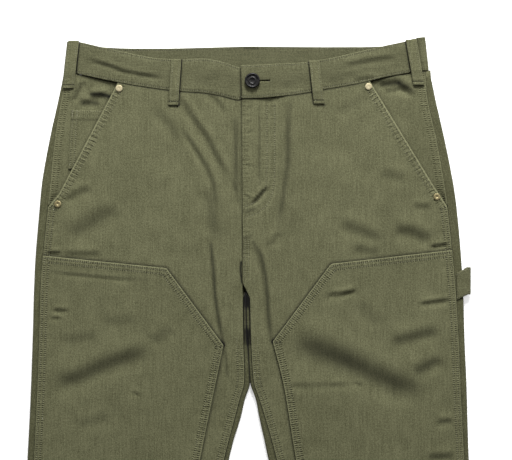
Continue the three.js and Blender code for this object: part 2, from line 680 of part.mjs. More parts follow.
function lathe(profile, x, drop, z, sides) {
  const geometry = new THREE.LatheGeometry(profile.map(([r, h]) => new THREE.Vector2(r, h)), sides);
  geometry.rotateX(Math.PI / 2);
  const y = WAIST_Y - drop;
  return geometry.translate(x, y, z);
}

function button() {
  const { radius: r, height: h, shank, x, drop } = BUTTON;
  const seat = SIDE_HEIGHT + BAND_RISE + BAND + LAYER_GAP + 0.2 + 0.8;
  const under = -(BAND + LAYER_GAP + 0.5);
  const profile = [[0, under], [shank, under], [shank, 0], [r - 1.2, 0], [r - 0.2, 0.7], [r, 1.7],
    [r - 0.6, h - 0.5], [r - 1.5, h], [r - 2.6, h - 0.4], [r - 3.2, h - 1.1], [r - 5, h - 1.2],
    [r - 5.8, h - 0.8], [r - 6.6, h - 1.4], [0, h - 1.7]];
  return lathe(profile, x, drop, seat, 20);
}

function rivet(x, drop, z) {
  const { radius: r, height: h } = RIVET;
  const profile = [[0, 0], [r, 0], [r, 0.35 * h], [r - 0.7, 0.85 * h], [r - 1.5, h], [1.3, h],
    [0.8, h - 0.5], [0, h - 0.55]];
  return lathe(profile, x, drop, z, 12);
}

// The keyhole buttonhole is cut through the left waistband.
const wasm = await Module();
wasm.setup();

function solid(geometry) {
  const plain = geometry.clone();
  plain.deleteAttribute("normal");
  plain.deleteAttribute("uv");
  const merged = mergeVertices(plain, 1e-4);
  return new wasm.Manifold(new wasm.Mesh({
    numProp: 3,
    vertProperties: merged.attributes.position.array,
    triVerts: new Uint32Array(merged.index.array),
  }));
}

function keyhole() {
  const shape = new THREE.Shape();
  const eye = BUTTON.shank + 0.7;
  const half = 0.7;
  const turn = Math.asin(half / eye);
  shape.absarc(0, 0, eye, turn, 2 * Math.PI - turn, false);
  shape.lineTo(BUTTON.slitEnd - BUTTON.x, -half);
  shape.lineTo(BUTTON.slitEnd - BUTTON.x, half);
  const cut = new THREE.ExtrudeGeometry(shape, { depth: 14, bevelEnabled: false, curveSegments: 8 });
  return cut.translate(BUTTON.x, WAIST_Y - BUTTON.drop, 1);
}

function cutBand(band) {
  const mesh = solid(band).subtract(solid(keyhole())).getMesh();
  const geometry = new THREE.BufferGeometry();
  geometry.setAttribute("position", new THREE.BufferAttribute(new Float32Array(mesh.vertProperties), 3));
  geometry.setIndex(new THREE.BufferAttribute(new Uint32Array(mesh.triVerts), 1));
  return geometry;
}

for (const side of ["right", "left"]) {
  const front = frontGrid(side);
  addPiece(`front_${side}`, wall(front, lowered(front, CLOTH)), twill);
  addPiece(`back_${side}`, backPanel(side), twill);
  const rows = front.slice(KNEE_ROWS.first, KNEE_ROWS.last + 1);
  const knee = raised(rows.map((row) => row.slice(0, COLUMNS.outer + COLUMNS.slope + 1)), LAYER_GAP);
  addPiece(`knee_${side}`, wall(raised(knee, CLOTH), knee), twill);
  const facing = facingGrid(side);
  addPiece(`pocket_facing_${side}`, wall(facing, lowered(facing, CLOTH)), twill);
}
const coin = coinPocketGrid();
addPiece("coin_pocket", wall(coin, lowered(coin, COIN_CLOTH)), twill);

const bands = { right: frontBand("right"), left: frontBand("left") };
addPiece("waistband_right", wall(bands.right.outer, bands.right.inner), twill);
addPiece("waistband_left", cutBand(wall(bands.left.outer, bands.left.inner)), twill);
addPiece("waistband_back", backBand(), twill);

for (const [name, loop] of Object.entries(BELT_LOOPS)) {
  const side = name.endsWith("right") ? "right" : "left";
  addPiece(`belt_loop_${name}`, beltLoop(side, loop, SIDE_HEIGHT + CROWN + LAYER_GAP + 0.3), twill);
}
addPiece("belt_loop_back", backLoop(), twill);
addPiece("hammer_loop", hammerLoop(), twill);
addPiece("button", button(), darkMetal);
for (const [name, { x, drop }] of Object.entries(RIVETS)) {
  const side = name.startsWith("right") ? "right" : "left";
  addPiece(`rivet_${name}`, rivet(x, drop, frontTop(side, x, drop) + LAYER_GAP + 0.1), paleMetal);
}

export default garment;
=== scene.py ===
# Utility pants in cotton twill, laid flat with the front up and seen straight down from above.
# Sizes are in millimetres until a mesh is made. X runs to the wearer's left, Y towards the waist.
# "drop" is the distance down the garment from the level of its highest side, against Y.
import math

import bpy
import numpy as np
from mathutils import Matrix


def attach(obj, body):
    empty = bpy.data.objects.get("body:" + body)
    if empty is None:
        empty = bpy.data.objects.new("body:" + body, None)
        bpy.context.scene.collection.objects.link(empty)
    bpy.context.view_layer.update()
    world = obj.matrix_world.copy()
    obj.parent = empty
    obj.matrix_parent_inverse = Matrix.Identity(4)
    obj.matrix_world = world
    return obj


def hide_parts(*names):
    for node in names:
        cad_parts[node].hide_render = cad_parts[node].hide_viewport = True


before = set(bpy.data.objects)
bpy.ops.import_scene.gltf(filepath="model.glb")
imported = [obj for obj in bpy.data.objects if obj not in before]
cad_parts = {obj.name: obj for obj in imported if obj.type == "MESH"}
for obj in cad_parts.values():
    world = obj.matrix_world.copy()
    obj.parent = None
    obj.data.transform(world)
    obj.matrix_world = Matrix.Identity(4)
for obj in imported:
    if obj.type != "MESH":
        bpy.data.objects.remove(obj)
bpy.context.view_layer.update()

# Back panels: one piece of olive cotton twill under each leg.
# Each lies flat on the surface, turns up round both sides of its leg and meets the front at the
# outseam and the inseam. From above only the turned strips beside those seams show.
MM = 0.001
WAIST_Y = 531.6  # Y where drop is 0
HEM_DROP = 1065
CROTCH_DROP = 306
SIDE_HEIGHT = 6.2  # top of the cloth where a front meets the back's turn
TURN = 3.1  # how far a side fold takes to turn from the front to the surface
SEAM_GAP = 0.5  # between two pieces that meet edge to edge
SHELL = 0.9  # one layer of twill
CENTRE_BACK = -2.5
WRAP_FLAT, WRAP_WHOLE = 304, 325  # drops between which the back starts to turn round the inner leg
SIGN = {"right": -1, "left": 1}


def table(columns, *rows):
    """A table as one array for each named column."""
    return dict(zip(columns.split(), np.array(rows, float).T))


OUTSEAM = {
    "right": table(
        "drop fold seam",
        (44, -230.6, -226.6), (77, -237.5, -233.4), (125, -248.1, -241.3), (177, -257.5, -246.3),
        (211, -260.9, -250), (272, -266, -256.3), (316, -268.1, -259.3), (365, -269.4, -260.6),
        (452, -272.5, -263.8), (527, -276.3, -267.5), (665, -283.8, -275), (817, -294.4, -285.6),
        (952, -301.3, -292.5), (HEM_DROP, -306.3, -297.5),
    ),
    "left": table(
        "drop fold seam",
        (38, 227, 221), (77, 235, 224.5), (127, 246.3, 235.6), (177, 256.3, 244.4),
        (211, 261.3, 249.4), (265, 266.3, 255), (324, 269.8, 260), (377, 271.3, 263.1),
        (434, 273.8, 265.4), (527, 276.6, 270), (665, 284, 276.5), (817, 294.4, 286.5),
        (952, 301.3, 293.3), (HEM_DROP, 306.3, 298.5),
    ),
}
INSEAM = {
    "right": table(
        "drop seam fold turn",
        (CROTCH_DROP, -7.1, -2.4, 1.2), (327, -6.6, -2.4, 1.2), (365, -6.1, -1.6, 1.2),
        (389, -5.6, 0.3, 1.4), (431, -5, 2.75, 1.8), (452, -10.6, -3.8, TURN),
        (474, -16.3, -8.8, TURN), (502, -23.8, -17.5, TURN), (527, -30, -23.8, TURN),
        (577, -40.6, -34.4, TURN), (665, -60, -53.8, TURN), (817, -81.9, -75.6, TURN),
        (952, -97.5, -91.3, TURN), (HEM_DROP, -107.5, -101.3, TURN),
    ),
    "left": table(
        "drop seam fold turn",
        (CROTCH_DROP, -6.6, -2.7, 4.2), (312, -3.7, -2.7, 4.2), (318, -0.8, -2.7, 4.2),
        (325, 2.4, -2.7, 4.2), (332, 2.7, -2.7, 4.2), (365, 3.5, -1.85, 4.2),
        (389, 4.4, 0.05, 4.2), (431, 7.5, 2.55, 4), (452, 14.4, 9.6, TURN), (474, 21.3, 13.8, TURN),
        (502, 29.4, 20, TURN), (527, 36, 25.4, TURN), (577, 46.8, 37.5, TURN),
        (665, 62, 53.8, TURN), (817, 83.8, 75.6, TURN), (952, 98.8, 90.6, TURN),
        (HEM_DROP, 109.5, 101.3, TURN),
    ),
}
BAND_BACK = table(
    "x top foot",
    (-230, 4.6, 44.2), (-210, 4.8, 45), (-180, 11, 47.6), (-110, 12.5, 52), (0, 10.2, 53.6),
    (110, 10.6, 50.6), (180, 8.8, 44.2), (205, 0.9, 41.2), (228, -1.6, 40.2),
)


def mix(a, b, t):
    return a + (b - a) * t


def ease(start, end, value):
    t = np.clip((value - start) / (end - start), 0, 1)
    return t * t * (3 - 2 * t)


def bump_at(place, middle, width):
    return np.exp(-(((place - middle) / width) ** 2))


def along(curve, key, column, value):
    """A smooth curve through one column of a table, read at values of its key column."""
    keys, heights = curve[key], curve[column]
    slopes = np.empty_like(heights)
    slopes[1:-1] = (heights[2:] - heights[:-2]) / (keys[2:] - keys[:-2])
    slopes[0] = (heights[1] - heights[0]) / (keys[1] - keys[0])
    slopes[-1] = (heights[-1] - heights[-2]) / (keys[-1] - keys[-2])
    value = np.clip(np.asarray(value, float), keys[0], keys[-1])
    i = np.clip(np.searchsorted(keys, value, side="right") - 1, 0, len(keys) - 2)
    span = keys[i + 1] - keys[i]
    t = (value - keys[i]) / span
    bend = t * (1 - t) * span * ((1 - t) * slopes[i] - t * slopes[i + 1])
    return mix(heights[i], heights[i + 1], t * t * (3 - 2 * t)) + bend


def outseam_x(side, drop):
    return along(OUTSEAM[side], "drop", "seam", drop)


def inseam_x(side, drop):
    return along(INSEAM[side], "drop", "seam", drop)


class Wire:
    """One socket of a node tree. Python's signs on it add Math nodes."""

    def __init__(self, tree, socket):
        self.tree = tree
        self.socket = socket

    @classmethod
    def node(cls, tree, kind, settings=None, values=None, output=0):
        """Adds a node, sets it up, feeds its sockets and gives one of its outputs."""
        made = tree.nodes.new(kind)
        for name, value in (settings or {}).items():
            setattr(made, name, value)
        for name, value in (values or {}).items():
            if isinstance(value, Wire):
                tree.links.new(value.socket, made.inputs[name])
            else:
                made.inputs[name].default_value = value
        return cls(tree, made.outputs[output])

    def beside(self, output):
        """Another output of the node that this one belongs to."""
        return Wire(self.tree, self.socket.node.outputs[output])

    def math(self, operation, *values):
        numbered = dict(enumerate(values))
        return self.node(self.tree, "ShaderNodeMath", {"operation": operation}, numbered)

    def __add__(self, other):
        return self.math("ADD", self, other)

    def __radd__(self, other):
        return self.math("ADD", other, self)

    def __sub__(self, other):
        return self.math("SUBTRACT", self, other)

    def __rsub__(self, other):
        return self.math("SUBTRACT", other, self)

    def __mul__(self, other):
        return self.math("MULTIPLY", self, other)

    def __rmul__(self, other):
        return self.math("MULTIPLY", other, self)

    def __truediv__(self, other):
        return self.math("DIVIDE", self, other)

    def __rtruediv__(self, other):
        return self.math("DIVIDE", other, self)

    def __neg__(self):
        return self.math("MULTIPLY", self, -1)

    def sine(self):
        return self.math("SINE", self)

    def held(self, low, high):
        """This value, kept between low and high."""
        return self.math("MINIMUM", self.math("MAXIMUM", self, low), high)

    def bell(self, middle, width):
        """1 at the middle, falling away smoothly over the width."""
        away = (self - middle) / width
        return self.math("EXPONENT", -(away * away))

    def smooth(self, low, high):
        """0 at low and 1 at high, smoothly between."""
        values = {"Value": self, "From Min": low, "From Max": high}
        return self.node(self.tree, "ShaderNodeMapRange", {"interpolation_type": "SMOOTHSTEP"}, values)

    def blend(self, first, second):
        """Mixes two colours, with this socket as the share of the second."""
        settings = {"data_type": "RGBA", "blend_type": "MIX"}
        return self.node(self.tree, "ShaderNodeMix", settings, {0: self, 6: first, 7: second}, output=2)

    def stretched(self, *scale):
        """This vector, with each part multiplied by its own number."""
        settings = {"operation": "MULTIPLY"}
        return self.node(self.tree, "ShaderNodeVectorMath", settings, {0: self, 1: scale})

    def noise(self, scale, detail=2.0, roughness=0.5):
        values = {"Vector": self, "Scale": scale, "Detail": detail, "Roughness": roughness}
        return self.node(self.tree, "ShaderNodeTexNoise", {}, values)

    def split(self):
        """The three parts of this vector."""
        first = self.node(self.tree, "ShaderNodeSeparateXYZ", {}, {0: self})
        return [first.beside(axis) for axis in "XYZ"]


def finish(name, **fixed):
    """A new finish: its tree and its shader, with what is the same all over set on the shader."""
    material = bpy.data.materials.new(name)
    material.use_nodes = True
    shader = material.node_tree.nodes["Principled BSDF"]
    for socket, value in fixed.items():
        shader.inputs[socket.replace("_", " ")].default_value = value
    return material, material.node_tree, shader


def feed(tree, shader, **wires):
    """Links wires to the shader's sockets."""
    for socket, wire in wires.items():
        tree.links.new(wire.socket, shader.inputs[socket.replace("_", " ")])


FAR = 60.0  # "across" where no seam is near
# What the finish reads of the nearest seam: how far across it and along it a point lies, whether
# it has two rows, how hard its thread pulls, and how much the cloth beside it puckers.
PLAIN_CLOTH = {"across": FAR, "run": 0.0, "double": 0.0, "pull": 1.0, "pucker": 1.0}
STITCH = 2.7  # length of one stitch and the space after it
ROW_1, ROW_2 = 3.0, 8.0  # how far the two rows of stitches lie from a sewn edge
ROW_WIDTH = 1.3  # half width of the dents beside a row's stitches
RIPPLE = 5.6  # length of the cloth's ripples between two rows
WEAVE_PITCH = 0.00082  # metres from one diagonal rib of the weave to the next
WEAVE_SLOPE = 0.55
DYE, SIDE_SHADE_DYE = 0.42, 0.16  # how pale the cloth is: on the front, and on the backs' turned strips, painted darker as painted shade where they turn away from the light
DYE_MOST = 1.3
GAP_STRENGTH = 0.4  # how much of the painted gap shade a shade of 1 brings in
OLIVE_DEEP = (0.050, 0.050, 0.023, 1)
OLIVE_LIGHT = (0.172, 0.172, 0.094, 1)
# near-black colour of the painted shade in gaps, creases and under edges
PAINTED_SHADE_DARK = (0.003, 0.003, 0.002, 1)


def twill_finish(name, dye):
    """Washed olive twill: diagonal weave, grain, streaks down the leg, and puckers at the stitches, with
    painted light and shade at the seams and painted shade from the shade attribute.
    """
    fixed = {"Sheen_Weight": 0.05, "Sheen_Roughness": 0.5, "Specular_IOR_Level": 0.15}
    material, tree, shader = finish(name, **fixed)
    cut = Wire.node(tree, "ShaderNodeUVMap", {"uv_map": "cut"})
    across, run, double, pull, pucker, painted_shade = (
        Wire.node(tree, "ShaderNodeAttribute", {"attribute_name": key}, output="Fac")
        for key in ("across", "run", "double", "pull", "pucker", "shade")
    )
    u, v, _ = cut.split()

    grain = cut.noise(950, 3, 0.7) - 0.5
    speck = cut.noise(430, 2, 0.6) - 0.5
    cloudy = cut.noise(60, 2) - 0.5
    broad = cut.noise(13, 2) - 0.5
    streaks = cut.stretched(1.0, 0.04, 1.0).noise(700, 2, 0.6) - 0.5
    diagonal = ((u + v * WEAVE_SLOPE) * (2 * math.pi / WEAVE_PITCH)).sine()

    row = (across.bell(ROW_1, ROW_WIDTH) + across.bell(ROW_2, ROW_WIDTH) * double) * pull
    wander = cut.noise(140, 1) * 4.0
    beat = (run * (2 * math.pi / STITCH) + wander).sine()
    slow = (run * (2 * math.pi / RIPPLE) + wander * 1.6).sine()
    patchy = cut.noise(75, 1).smooth(0.3, 0.7)
    near = across.smooth(11.5, 8.5) * across.smooth(-1.0, 2.5) * pucker * (patchy * 0.8 + 0.3)
    dents = row * (0.5 - beat * 0.5)
    ribs = row * (0.5 + beat * 0.5)
    # A painted highlight along a sewn edge, where it catches the light; partly edge wear.
    edge = across.bell(0.4, 0.8) * pucker

    # At the seams, ribs and ripple crests are lighter and dents darker: partly wear, partly painted light
    # and shade.
    tone = grain * 2.0 + speck * 0.9 + cloudy * 0.35 + broad * 0.25 + streaks * 0.6
    tone = tone + ribs * 0.30 - dents * 0.50 + slow * near * 0.15 + edge * 0.36
    colour = (tone + dye).held(0.0, DYE_MOST).blend(OLIVE_DEEP, OLIVE_LIGHT)
    # Painted shade: the shade attribute darkens the colour towards near-black.
    colour = (painted_shade * GAP_STRENGTH).blend(colour, PAINTED_SHADE_DARK)

    height = grain * 0.20 + speck * 0.12 + streaks * 0.10 + diagonal * 0.012
    height = height + beat * near * 0.04 + slow * near * 0.18 + ribs * 0.12 - dents * 0.40
    bump = Wire.node(tree, "ShaderNodeBump", {}, {"Distance": MM, "Strength": 1.0, "Height": height})
    feed(tree, shader, Base_Color=colour, Normal=bump, Roughness=0.88 + grain * 0.2)
    return material


TWILL = twill_finish("olive_twill", DYE)
# The backs' finish: the same twill painted darker, as painted shade on the strips that turn down at the
# sides.
SIDE_TWILL = twill_finish("olive_twill_painted_side_shade", SIDE_SHADE_DYE)


def in_scene(name, data):
    """A new object, linked to the scene."""
    made = bpy.data.objects.new(name, data)
    bpy.context.scene.collection.objects.link(made)
    return made


def wall_faces(rows, columns):
    """Faces of a closed wall: an outer grid, an inner grid, and a rim round both."""
    half = rows * columns
    grid = np.arange(half).reshape(rows, columns)
    corner = [grid[:-1, :-1], grid[:-1, 1:], grid[1:, 1:], grid[1:, :-1]]
    outer = np.stack([c.ravel() for c in corner], axis=1)
    inner = half + outer[:, ::-1]
    edge = np.concatenate([grid[0, :-1], grid[:-1, -1], grid[-1, :0:-1], grid[:0:-1, 0]])
    ahead = np.roll(edge, -1)
    rim = np.stack([ahead, edge, half + edge, half + ahead], axis=1)
    return np.concatenate([outer, inner, rim])


def facing_out(points, faces):
    """The faces, turned over if the wall they make is inside out."""
    a, b, c, d = (points[faces[:, k]] for k in range(4))
    volume = np.einsum("ij,ij->i", a, np.cross(b, c)) + np.einsum("ij,ij->i", a, np.cross(c, d))
    return faces if volume.sum() > 0 else faces[:, ::-1]


def cloth_piece(name, outer, inner, cut, seams=PLAIN_CLOTH, material=TWILL, shade=0.0, under=1.0,
                both=False):
    """A cloth wall from the points of its outer and inner side, (rows, columns, 3) in millimetres.

    Cut is where each point lay in the cloth it was cut from, so that no two pieces share a weave.
    Shade and under are painted shade on the outer and the inner side, for how far each lies out
    of the light; the inner side is painted fully shaded unless told otherwise. Seams tell the
    finish where the stitches are, on the outer side or on both.
    """
    rows, columns = outer.shape[:2]
    points = np.concatenate([outer.reshape(-1, 3), inner.reshape(-1, 3)]) * MM
    faces = facing_out(points, wall_faces(rows, columns))
    mesh = bpy.data.meshes.new(name)
    mesh.from_pydata(points.tolist(), [], faces.tolist())
    flat = np.tile(cut.reshape(-1, 2), (2, 1)) * MM
    layer = mesh.uv_layers.new(name="cut")
    loops = np.empty(len(mesh.loops), int)
    mesh.loops.foreach_get("vertex_index", loops)
    layer.data.foreach_set("uv", flat[loops].ravel())
    shape = (rows, columns)
    for key, plain in PLAIN_CLOTH.items():
        values = np.broadcast_to(seams.get(key, plain), shape).ravel()
        below = values if both else np.full(rows * columns, plain)
        spot = mesh.attributes.new(key, "FLOAT", "POINT")
        spot.data.foreach_set("value", np.concatenate([values, below]))
    values = [np.broadcast_to(side_shade, shape).ravel() for side_shade in (shade, under)]
    mesh.attributes.new("shade", "FLOAT", "POINT").data.foreach_set("value", np.concatenate(values))
    mesh.shade_smooth()
    mesh.materials.append(material)
    return in_scene(name, mesh)


def cloth_area(outer):
    """Area of a grid of points, in square metres, and its two longest ways across."""
    down = np.linalg.norm(np.diff(outer, axis=0), axis=2).sum(axis=0).max()
    over = np.linalg.norm(np.diff(outer, axis=1), axis=2).sum(axis=1).max()
    a, b, c, d = outer[:-1, :-1], outer[:-1, 1:], outer[1:, 1:], outer[1:, :-1]
    halves = sum(np.linalg.norm(np.cross(p - a, q - a), axis=2) for p, q in ((b, c), (c, d)))
    return halves.sum() / 2 * MM * MM, over * MM, down * MM


def laid(piece, node, outer):
    """Hangs a cloth piece on the root and hides its node among the imported parts."""
    area, wide, long = cloth_area(outer)
    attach(piece, "root")
    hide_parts(node)
    room = max(1.0, area / (wide * long) * 1.001)
    wide * room


def at(x, drop, z):
    """Points in the part's frame from their place on the garment and their height."""
    x, drop, z = np.broadcast_arrays(x, drop, z)
    return np.stack([x, WAIST_Y - drop, z], axis=-1).astype(float)


def quarter(centre_x, centre_z, reach_x, reach_z, start, end, steps=7):
    """Points of an ellipse's quarter; start and end count right angles."""
    angle = np.linspace(start, end, steps) * math.pi / 2
    return np.stack([centre_x + reach_x * np.cos(angle), centre_z + reach_z * np.sin(angle)], axis=1)


def back_line(side, drop):
    """The back panel across the leg at one drop, from its inner edge to the outseam."""
    sign = SIGN[side]
    fold = float(along(OUTSEAM[side], "drop", "fold", drop))
    end = float(outseam_x(side, drop)) + sign * SEAM_GAP
    turn = min(TURN, abs(fold - end))
    outer = np.concatenate([
        quarter(fold - sign * TURN, TURN, sign * TURN, TURN, -1, 0),
        quarter(fold - sign * turn, TURN, sign * turn, SIDE_HEIGHT - TURN, 0, 1)[1:],
        [(end, SIDE_HEIGHT)],
    ])
    wrap = np.clip((drop - WRAP_FLAT) / (WRAP_WHOLE - WRAP_FLAT), 0, 1)
    if wrap == 0:
        return np.concatenate([[(CENTRE_BACK + sign * SEAM_GAP, 0)], outer])
    level = max(drop, WRAP_WHOLE)
    fold, height, end = (
        float(along(INSEAM[side], "drop", key, level)) for key in ("fold", "turn", "seam")
    )
    end -= sign * SEAM_GAP
    turn = min(TURN, abs(fold - end))
    inner = np.concatenate([
        quarter(fold + sign * TURN, height, -sign * TURN, height, -1, 0),
        quarter(fold + sign * turn, height, -sign * turn, SIDE_HEIGHT - height, 0, 1)[1:],
        [(end, SIDE_HEIGHT)],
    ])
    kept = inner[: max(2, round(wrap * len(inner)))]
    return np.concatenate([kept[::-1], outer])


def spaced(line, distances, thickness, sign):
    """Points along a line at given distances, each with its place on the wall's inner side."""
    steps = np.linalg.norm(np.diff(line, axis=0), axis=1)
    line = line[np.concatenate([[True], steps > 0.01])]
    steps = np.linalg.norm(np.diff(line, axis=0), axis=1)
    lengths = np.concatenate([[0], np.cumsum(steps)])
    where = distances(lengths[-1])
    i = np.clip(np.searchsorted(lengths, where - 1e-9), 1, len(line) - 1)
    t = ((where - lengths[i - 1]) / steps[i - 1])[:, None]
    point = mix(line[i - 1], line[i], t)
    point[:, 1] = np.maximum(point[:, 1], 0)
    way = (line[i] - line[i - 1]) / steps[i - 1][:, None]
    inner = point + sign * thickness * np.stack([-way[:, 1], way[:, 0]], axis=1)
    return point, inner, where


BAND_ROWS = 5  # of a back's rows, how many give way to the waistband
INNER_TURN = np.array([0, 0.7, 1.4, 2.2, 3, 3.9, 4.8, 5.8, 6.9, 8.1, 9.5, 11.5, 14])
OUTER_TURN = np.array([
    22, 19, 16.5, 14.6, 13.2, 11.8, 10.4, 9, 7.7, 6.4, 5.1, 3.9, 2.8, 1.8, 0.9, 0.4, 0,
])


def back_distances(total):
    """Where a back's points lie along its line: close together in both turns."""
    middle = np.linspace(INNER_TURN[-1], total - OUTER_TURN[0], 9)[1:-1]
    return np.concatenate([INNER_TURN, middle, total - OUTER_TURN])


def near_path(path, x, drop):
    """Distance to a path on the cloth, on which side, the run along it, and its whole length."""
    shape = np.broadcast(x, drop).shape
    best, run, hand = np.full(shape, np.inf), np.zeros(shape), np.ones(shape)
    start = 0.0
    for (ax, ad), (bx, bd) in zip(path[:-1], path[1:]):
        ux, ud = bx - ax, bd - ad
        length = math.hypot(ux, ud)
        t = np.clip(((x - ax) * ux + (drop - ad) * ud) / length**2, 0, 1)
        off_x, off_drop = x - ax - t * ux, drop - ad - t * ud
        distance = np.hypot(off_x, off_drop)
        nearer = distance < best
        best = np.where(nearer, distance, best)
        hand = np.where(nearer, np.sign(ux * off_drop - ud * off_x), hand)
        run = np.where(nearer, start + t * length, run)
        start += length
    return best, hand, run, start


def dark_at(distance, strength, width):
    """Painted shade that a narrow gap throws on the cloth at a distance from it."""
    return strength * bump_at(distance, 0, width)


def shade_lines(lines, x, drop):
    """Painted shade of narrow gaps on the cloth, each a path, a half width and a strength."""
    return sum(
        dark_at(near_path(path, x, drop)[0], strength, width) for path, width, strength in lines
    )


GAP_LINES = [  # painted shade in the gap between the legs, and a painted shadow under the hammer loop
    ([(-2.6, 250), (-2.6, 330), (-1.8, 365), (0.1, 389), (2.6, 431)], 1.0, 2.4),
    ([(-5, 300), (-3.5, 312), (-1.5, 322), (-0.5, 333)], 4.4, 3.0), ([(-1, 366), (0, 381)], 4, 2.4),
    ([(-6.3, 306), (-5.8, 380)], 1.4, 2.4), ([(2.3, 326), (3.4, 372)], 1.6, 2.4),
    ([(257, 324.6), (271, 324.6)], 1.3, 2.4),
]
INSEAM_SHADE = (1.8, 1.3)  # strength and half width of the painted shade beside the inseam, as of the shades of later pieces


# Painted shade on a back: between the legs, under the hammer loop and beside the inseam.
def back_shade(side, x, drop):
    seam = np.abs(x - inseam_x(side, drop))
    return shade_lines(GAP_LINES, x, drop) + dark_at(seam, *INSEAM_SHADE) * (drop > CROTCH_DROP)


def back_panel(side):
    drops = np.concatenate([
        [46, 50, 56, 63, 70], np.arange(77, 300, 4), np.arange(301, 331, 2.4), np.arange(334, 545, 4),
        np.arange(552, HEM_DROP - 4, 10), [HEM_DROP - 2, HEM_DROP],
    ])
    outer, inner, cut = [], [], []
    for row, drop in enumerate(drops):
        point, under, where = spaced(back_line(side, drop), back_distances, SHELL, SIGN[side])
        band = along(BAND_BACK, "x", "foot", point[:, 0])
        if row == 0:
            level = band + 0.2
        else:
            level = np.maximum(drop, band + 2 * row) if row < BAND_ROWS else drop
        outer.append(at(point[:, 0], level, point[:, 1]))
        inner.append(at(under[:, 0], level, under[:, 1]))
        cut.append(np.stack([where, np.broadcast_to(level, where.shape)], axis=1))
    outer = np.array(outer)
    shade = back_shade(side, outer[..., 0], WAIST_Y - outer[..., 1])
    sides = outer, np.array(inner), np.array(cut)
    # The turned strips take the darker finish, painted shade where they turn away from the light; the gaps
    # beside them carry painted shade too.
    piece = cloth_piece(f"back_{side}_twill", *sides, material=SIDE_TWILL, shade=shade)
    laid(piece, f"back_{side}", outer)


for side in SIGN:
    back_panel(side)

# Pocket facings: a piece of the same twill in each slanted pocket, on the pocket bag.
# Its outer edge is caught in the outseam and its top in the waistband; it falls a little behind
# the slanted edge, so that the pocket's mouth lies in shade, and that shade is also painted on.
BAND_EDGES = {
    "right": table(
        "x top foot",
        (-214, 4.3, 44.6), (-164, 15.6, 55.1), (-117, 24.9, 63), (-84, 26.6, 66.8),
        (-56, 25.8, 68.7), (-34, 29.4, 72.4), (-12, 36.5, 77.6), (-5, 38, 74.6), (24, 38.5, 74.2),
    ),
    "left": table(
        "x top foot",
        (-8.6, 34.2, 75.9), (20, 33.6, 75), (43, 31.8, 72.6), (65, 30.8, 69.9), (100, 25.8, 63.6),
        (137, 17.5, 56.9), (173, 9.3, 48.6), (199, 3.8, 43.9), (212, 0.6, 40.9),
    ),
}
SLANT = {
    "right": {"top": (-163, 56), "foot": (-236.3, 194.4), "end": 211},
    "left": {"top": (152.5, 54), "foot": (232, 184.4), "end": 211},
}
FOLD_DEPTH = 1.5  # all the folds are this much deeper than their table says
FOLD_SIDE, FOLD_SPREAD = 0.8, 0.95  # how far beside its path a trough or ridge lies, and how wide
FOLD_CREST = 0.75  # height of the ridge against its trough
FOLD_FADE, SHADE_FADE = 0.22, 0.25  # the shares of a fold over which it fades in and out
FOLD_SHADE = 0.34  # painted shade for each millimetre that a fold's table gives
POCKET_LAP = 22  # how far a facing runs on under the front
MOUTH_SHARE = 0.75  # the share of a facing's columns that lie in the pocket's mouth
FACING_TOP = 2.95  # top of the facing under the slanted edge
LAYER_GAP = 0.3
FACING_FOLDS = {
    "right": [
        ([(-220, 80), (-214, 66), (-207, 52)], 4.5, -1.1),
        ([(-200, 72), (-184, 71), (-168, 74)], 5, -1.5),
        ([(-212, 80), (-196, 79), (-184, 81)], 5, -1.0),
    ],
    "left": [
        ([(160, 56), (186, 54), (208, 65)], 6, -1.4),
        ([(166, 66), (192, 62), (212, 72)], 4, -0.8),
    ],
}
MOUTH_SHADE, FACING_SHADE = (0.9, 2.2), (1.6, 1.6)  # painted shade below the slanted edge and below the band
MOUTH_LINES = {  # painted shade where the facing sinks away behind the pocket's mouth
    "right": [([(-196, 70), (-184, 69.5), (-173, 73)], 2.4, 1.7), ([(-209, 80.5), (-188, 81)], 3, 0.7)],
    "left": [([(166, 58), (190, 55)], 3, 0.8), ([(188, 56), (206, 65)], 2, 0.9)],
}


def band_foot(side, x):
    return along(BAND_EDGES[side], "x", "foot", x)


def slant_x(side, drop):
    """The slanted pocket edge; below its end it is the outseam."""
    slant = SLANT[side]
    (top_x, top_drop), (foot_x, foot_drop) = slant["top"], slant["foot"]
    straight = mix(top_x, foot_x, (drop - top_drop) / (foot_drop - top_drop))
    corner = mix(foot_x, outseam_x(side, slant["end"]), (drop - foot_drop) / (slant["end"] - foot_drop))
    upper = np.where(drop > foot_drop, corner, straight)
    return np.where(drop >= slant["end"], outseam_x(side, drop), upper)


def folds_at(folds, x, drop, fade_over):
    """Of each fold: the way across it, how far it has faded, and its half width and rise."""
    for path, width, height in folds:
        distance, hand, run, length = near_path(path, x, drop)
        share = run / length
        fade = ease(0, fade_over, share) * ease(1, 1 - fade_over, share)
        yield distance * hand, fade, width, height


def fold_rise(folds, x, drop):
    """How far the cloth rises or falls at its folds, each a path, a half width and a rise."""
    rise = np.zeros(np.broadcast(x, drop).shape)
    for across, fade, width, height in folds_at(folds, x, drop, FOLD_FADE):
        trough = bump_at(across, FOLD_SIDE * width, FOLD_SPREAD * width)
        crest = bump_at(across, -FOLD_SIDE * width, FOLD_SPREAD * width)
        rise += FOLD_DEPTH * height * fade * (trough - FOLD_CREST * crest)
    return rise


def fold_shade(folds, x, drop):
    """Painted shade in the folds: how far they keep the light off, most where narrow and deep."""
    shade = np.zeros(np.broadcast(x, drop).shape)
    for across, fade, width, height in folds_at(folds, x, drop, SHADE_FADE):
        dark = bump_at(across, 0.25 * width, 0.75 * width)
        shade += max(0.0, -height) * FOLD_SHADE * fade * dark
    return shade


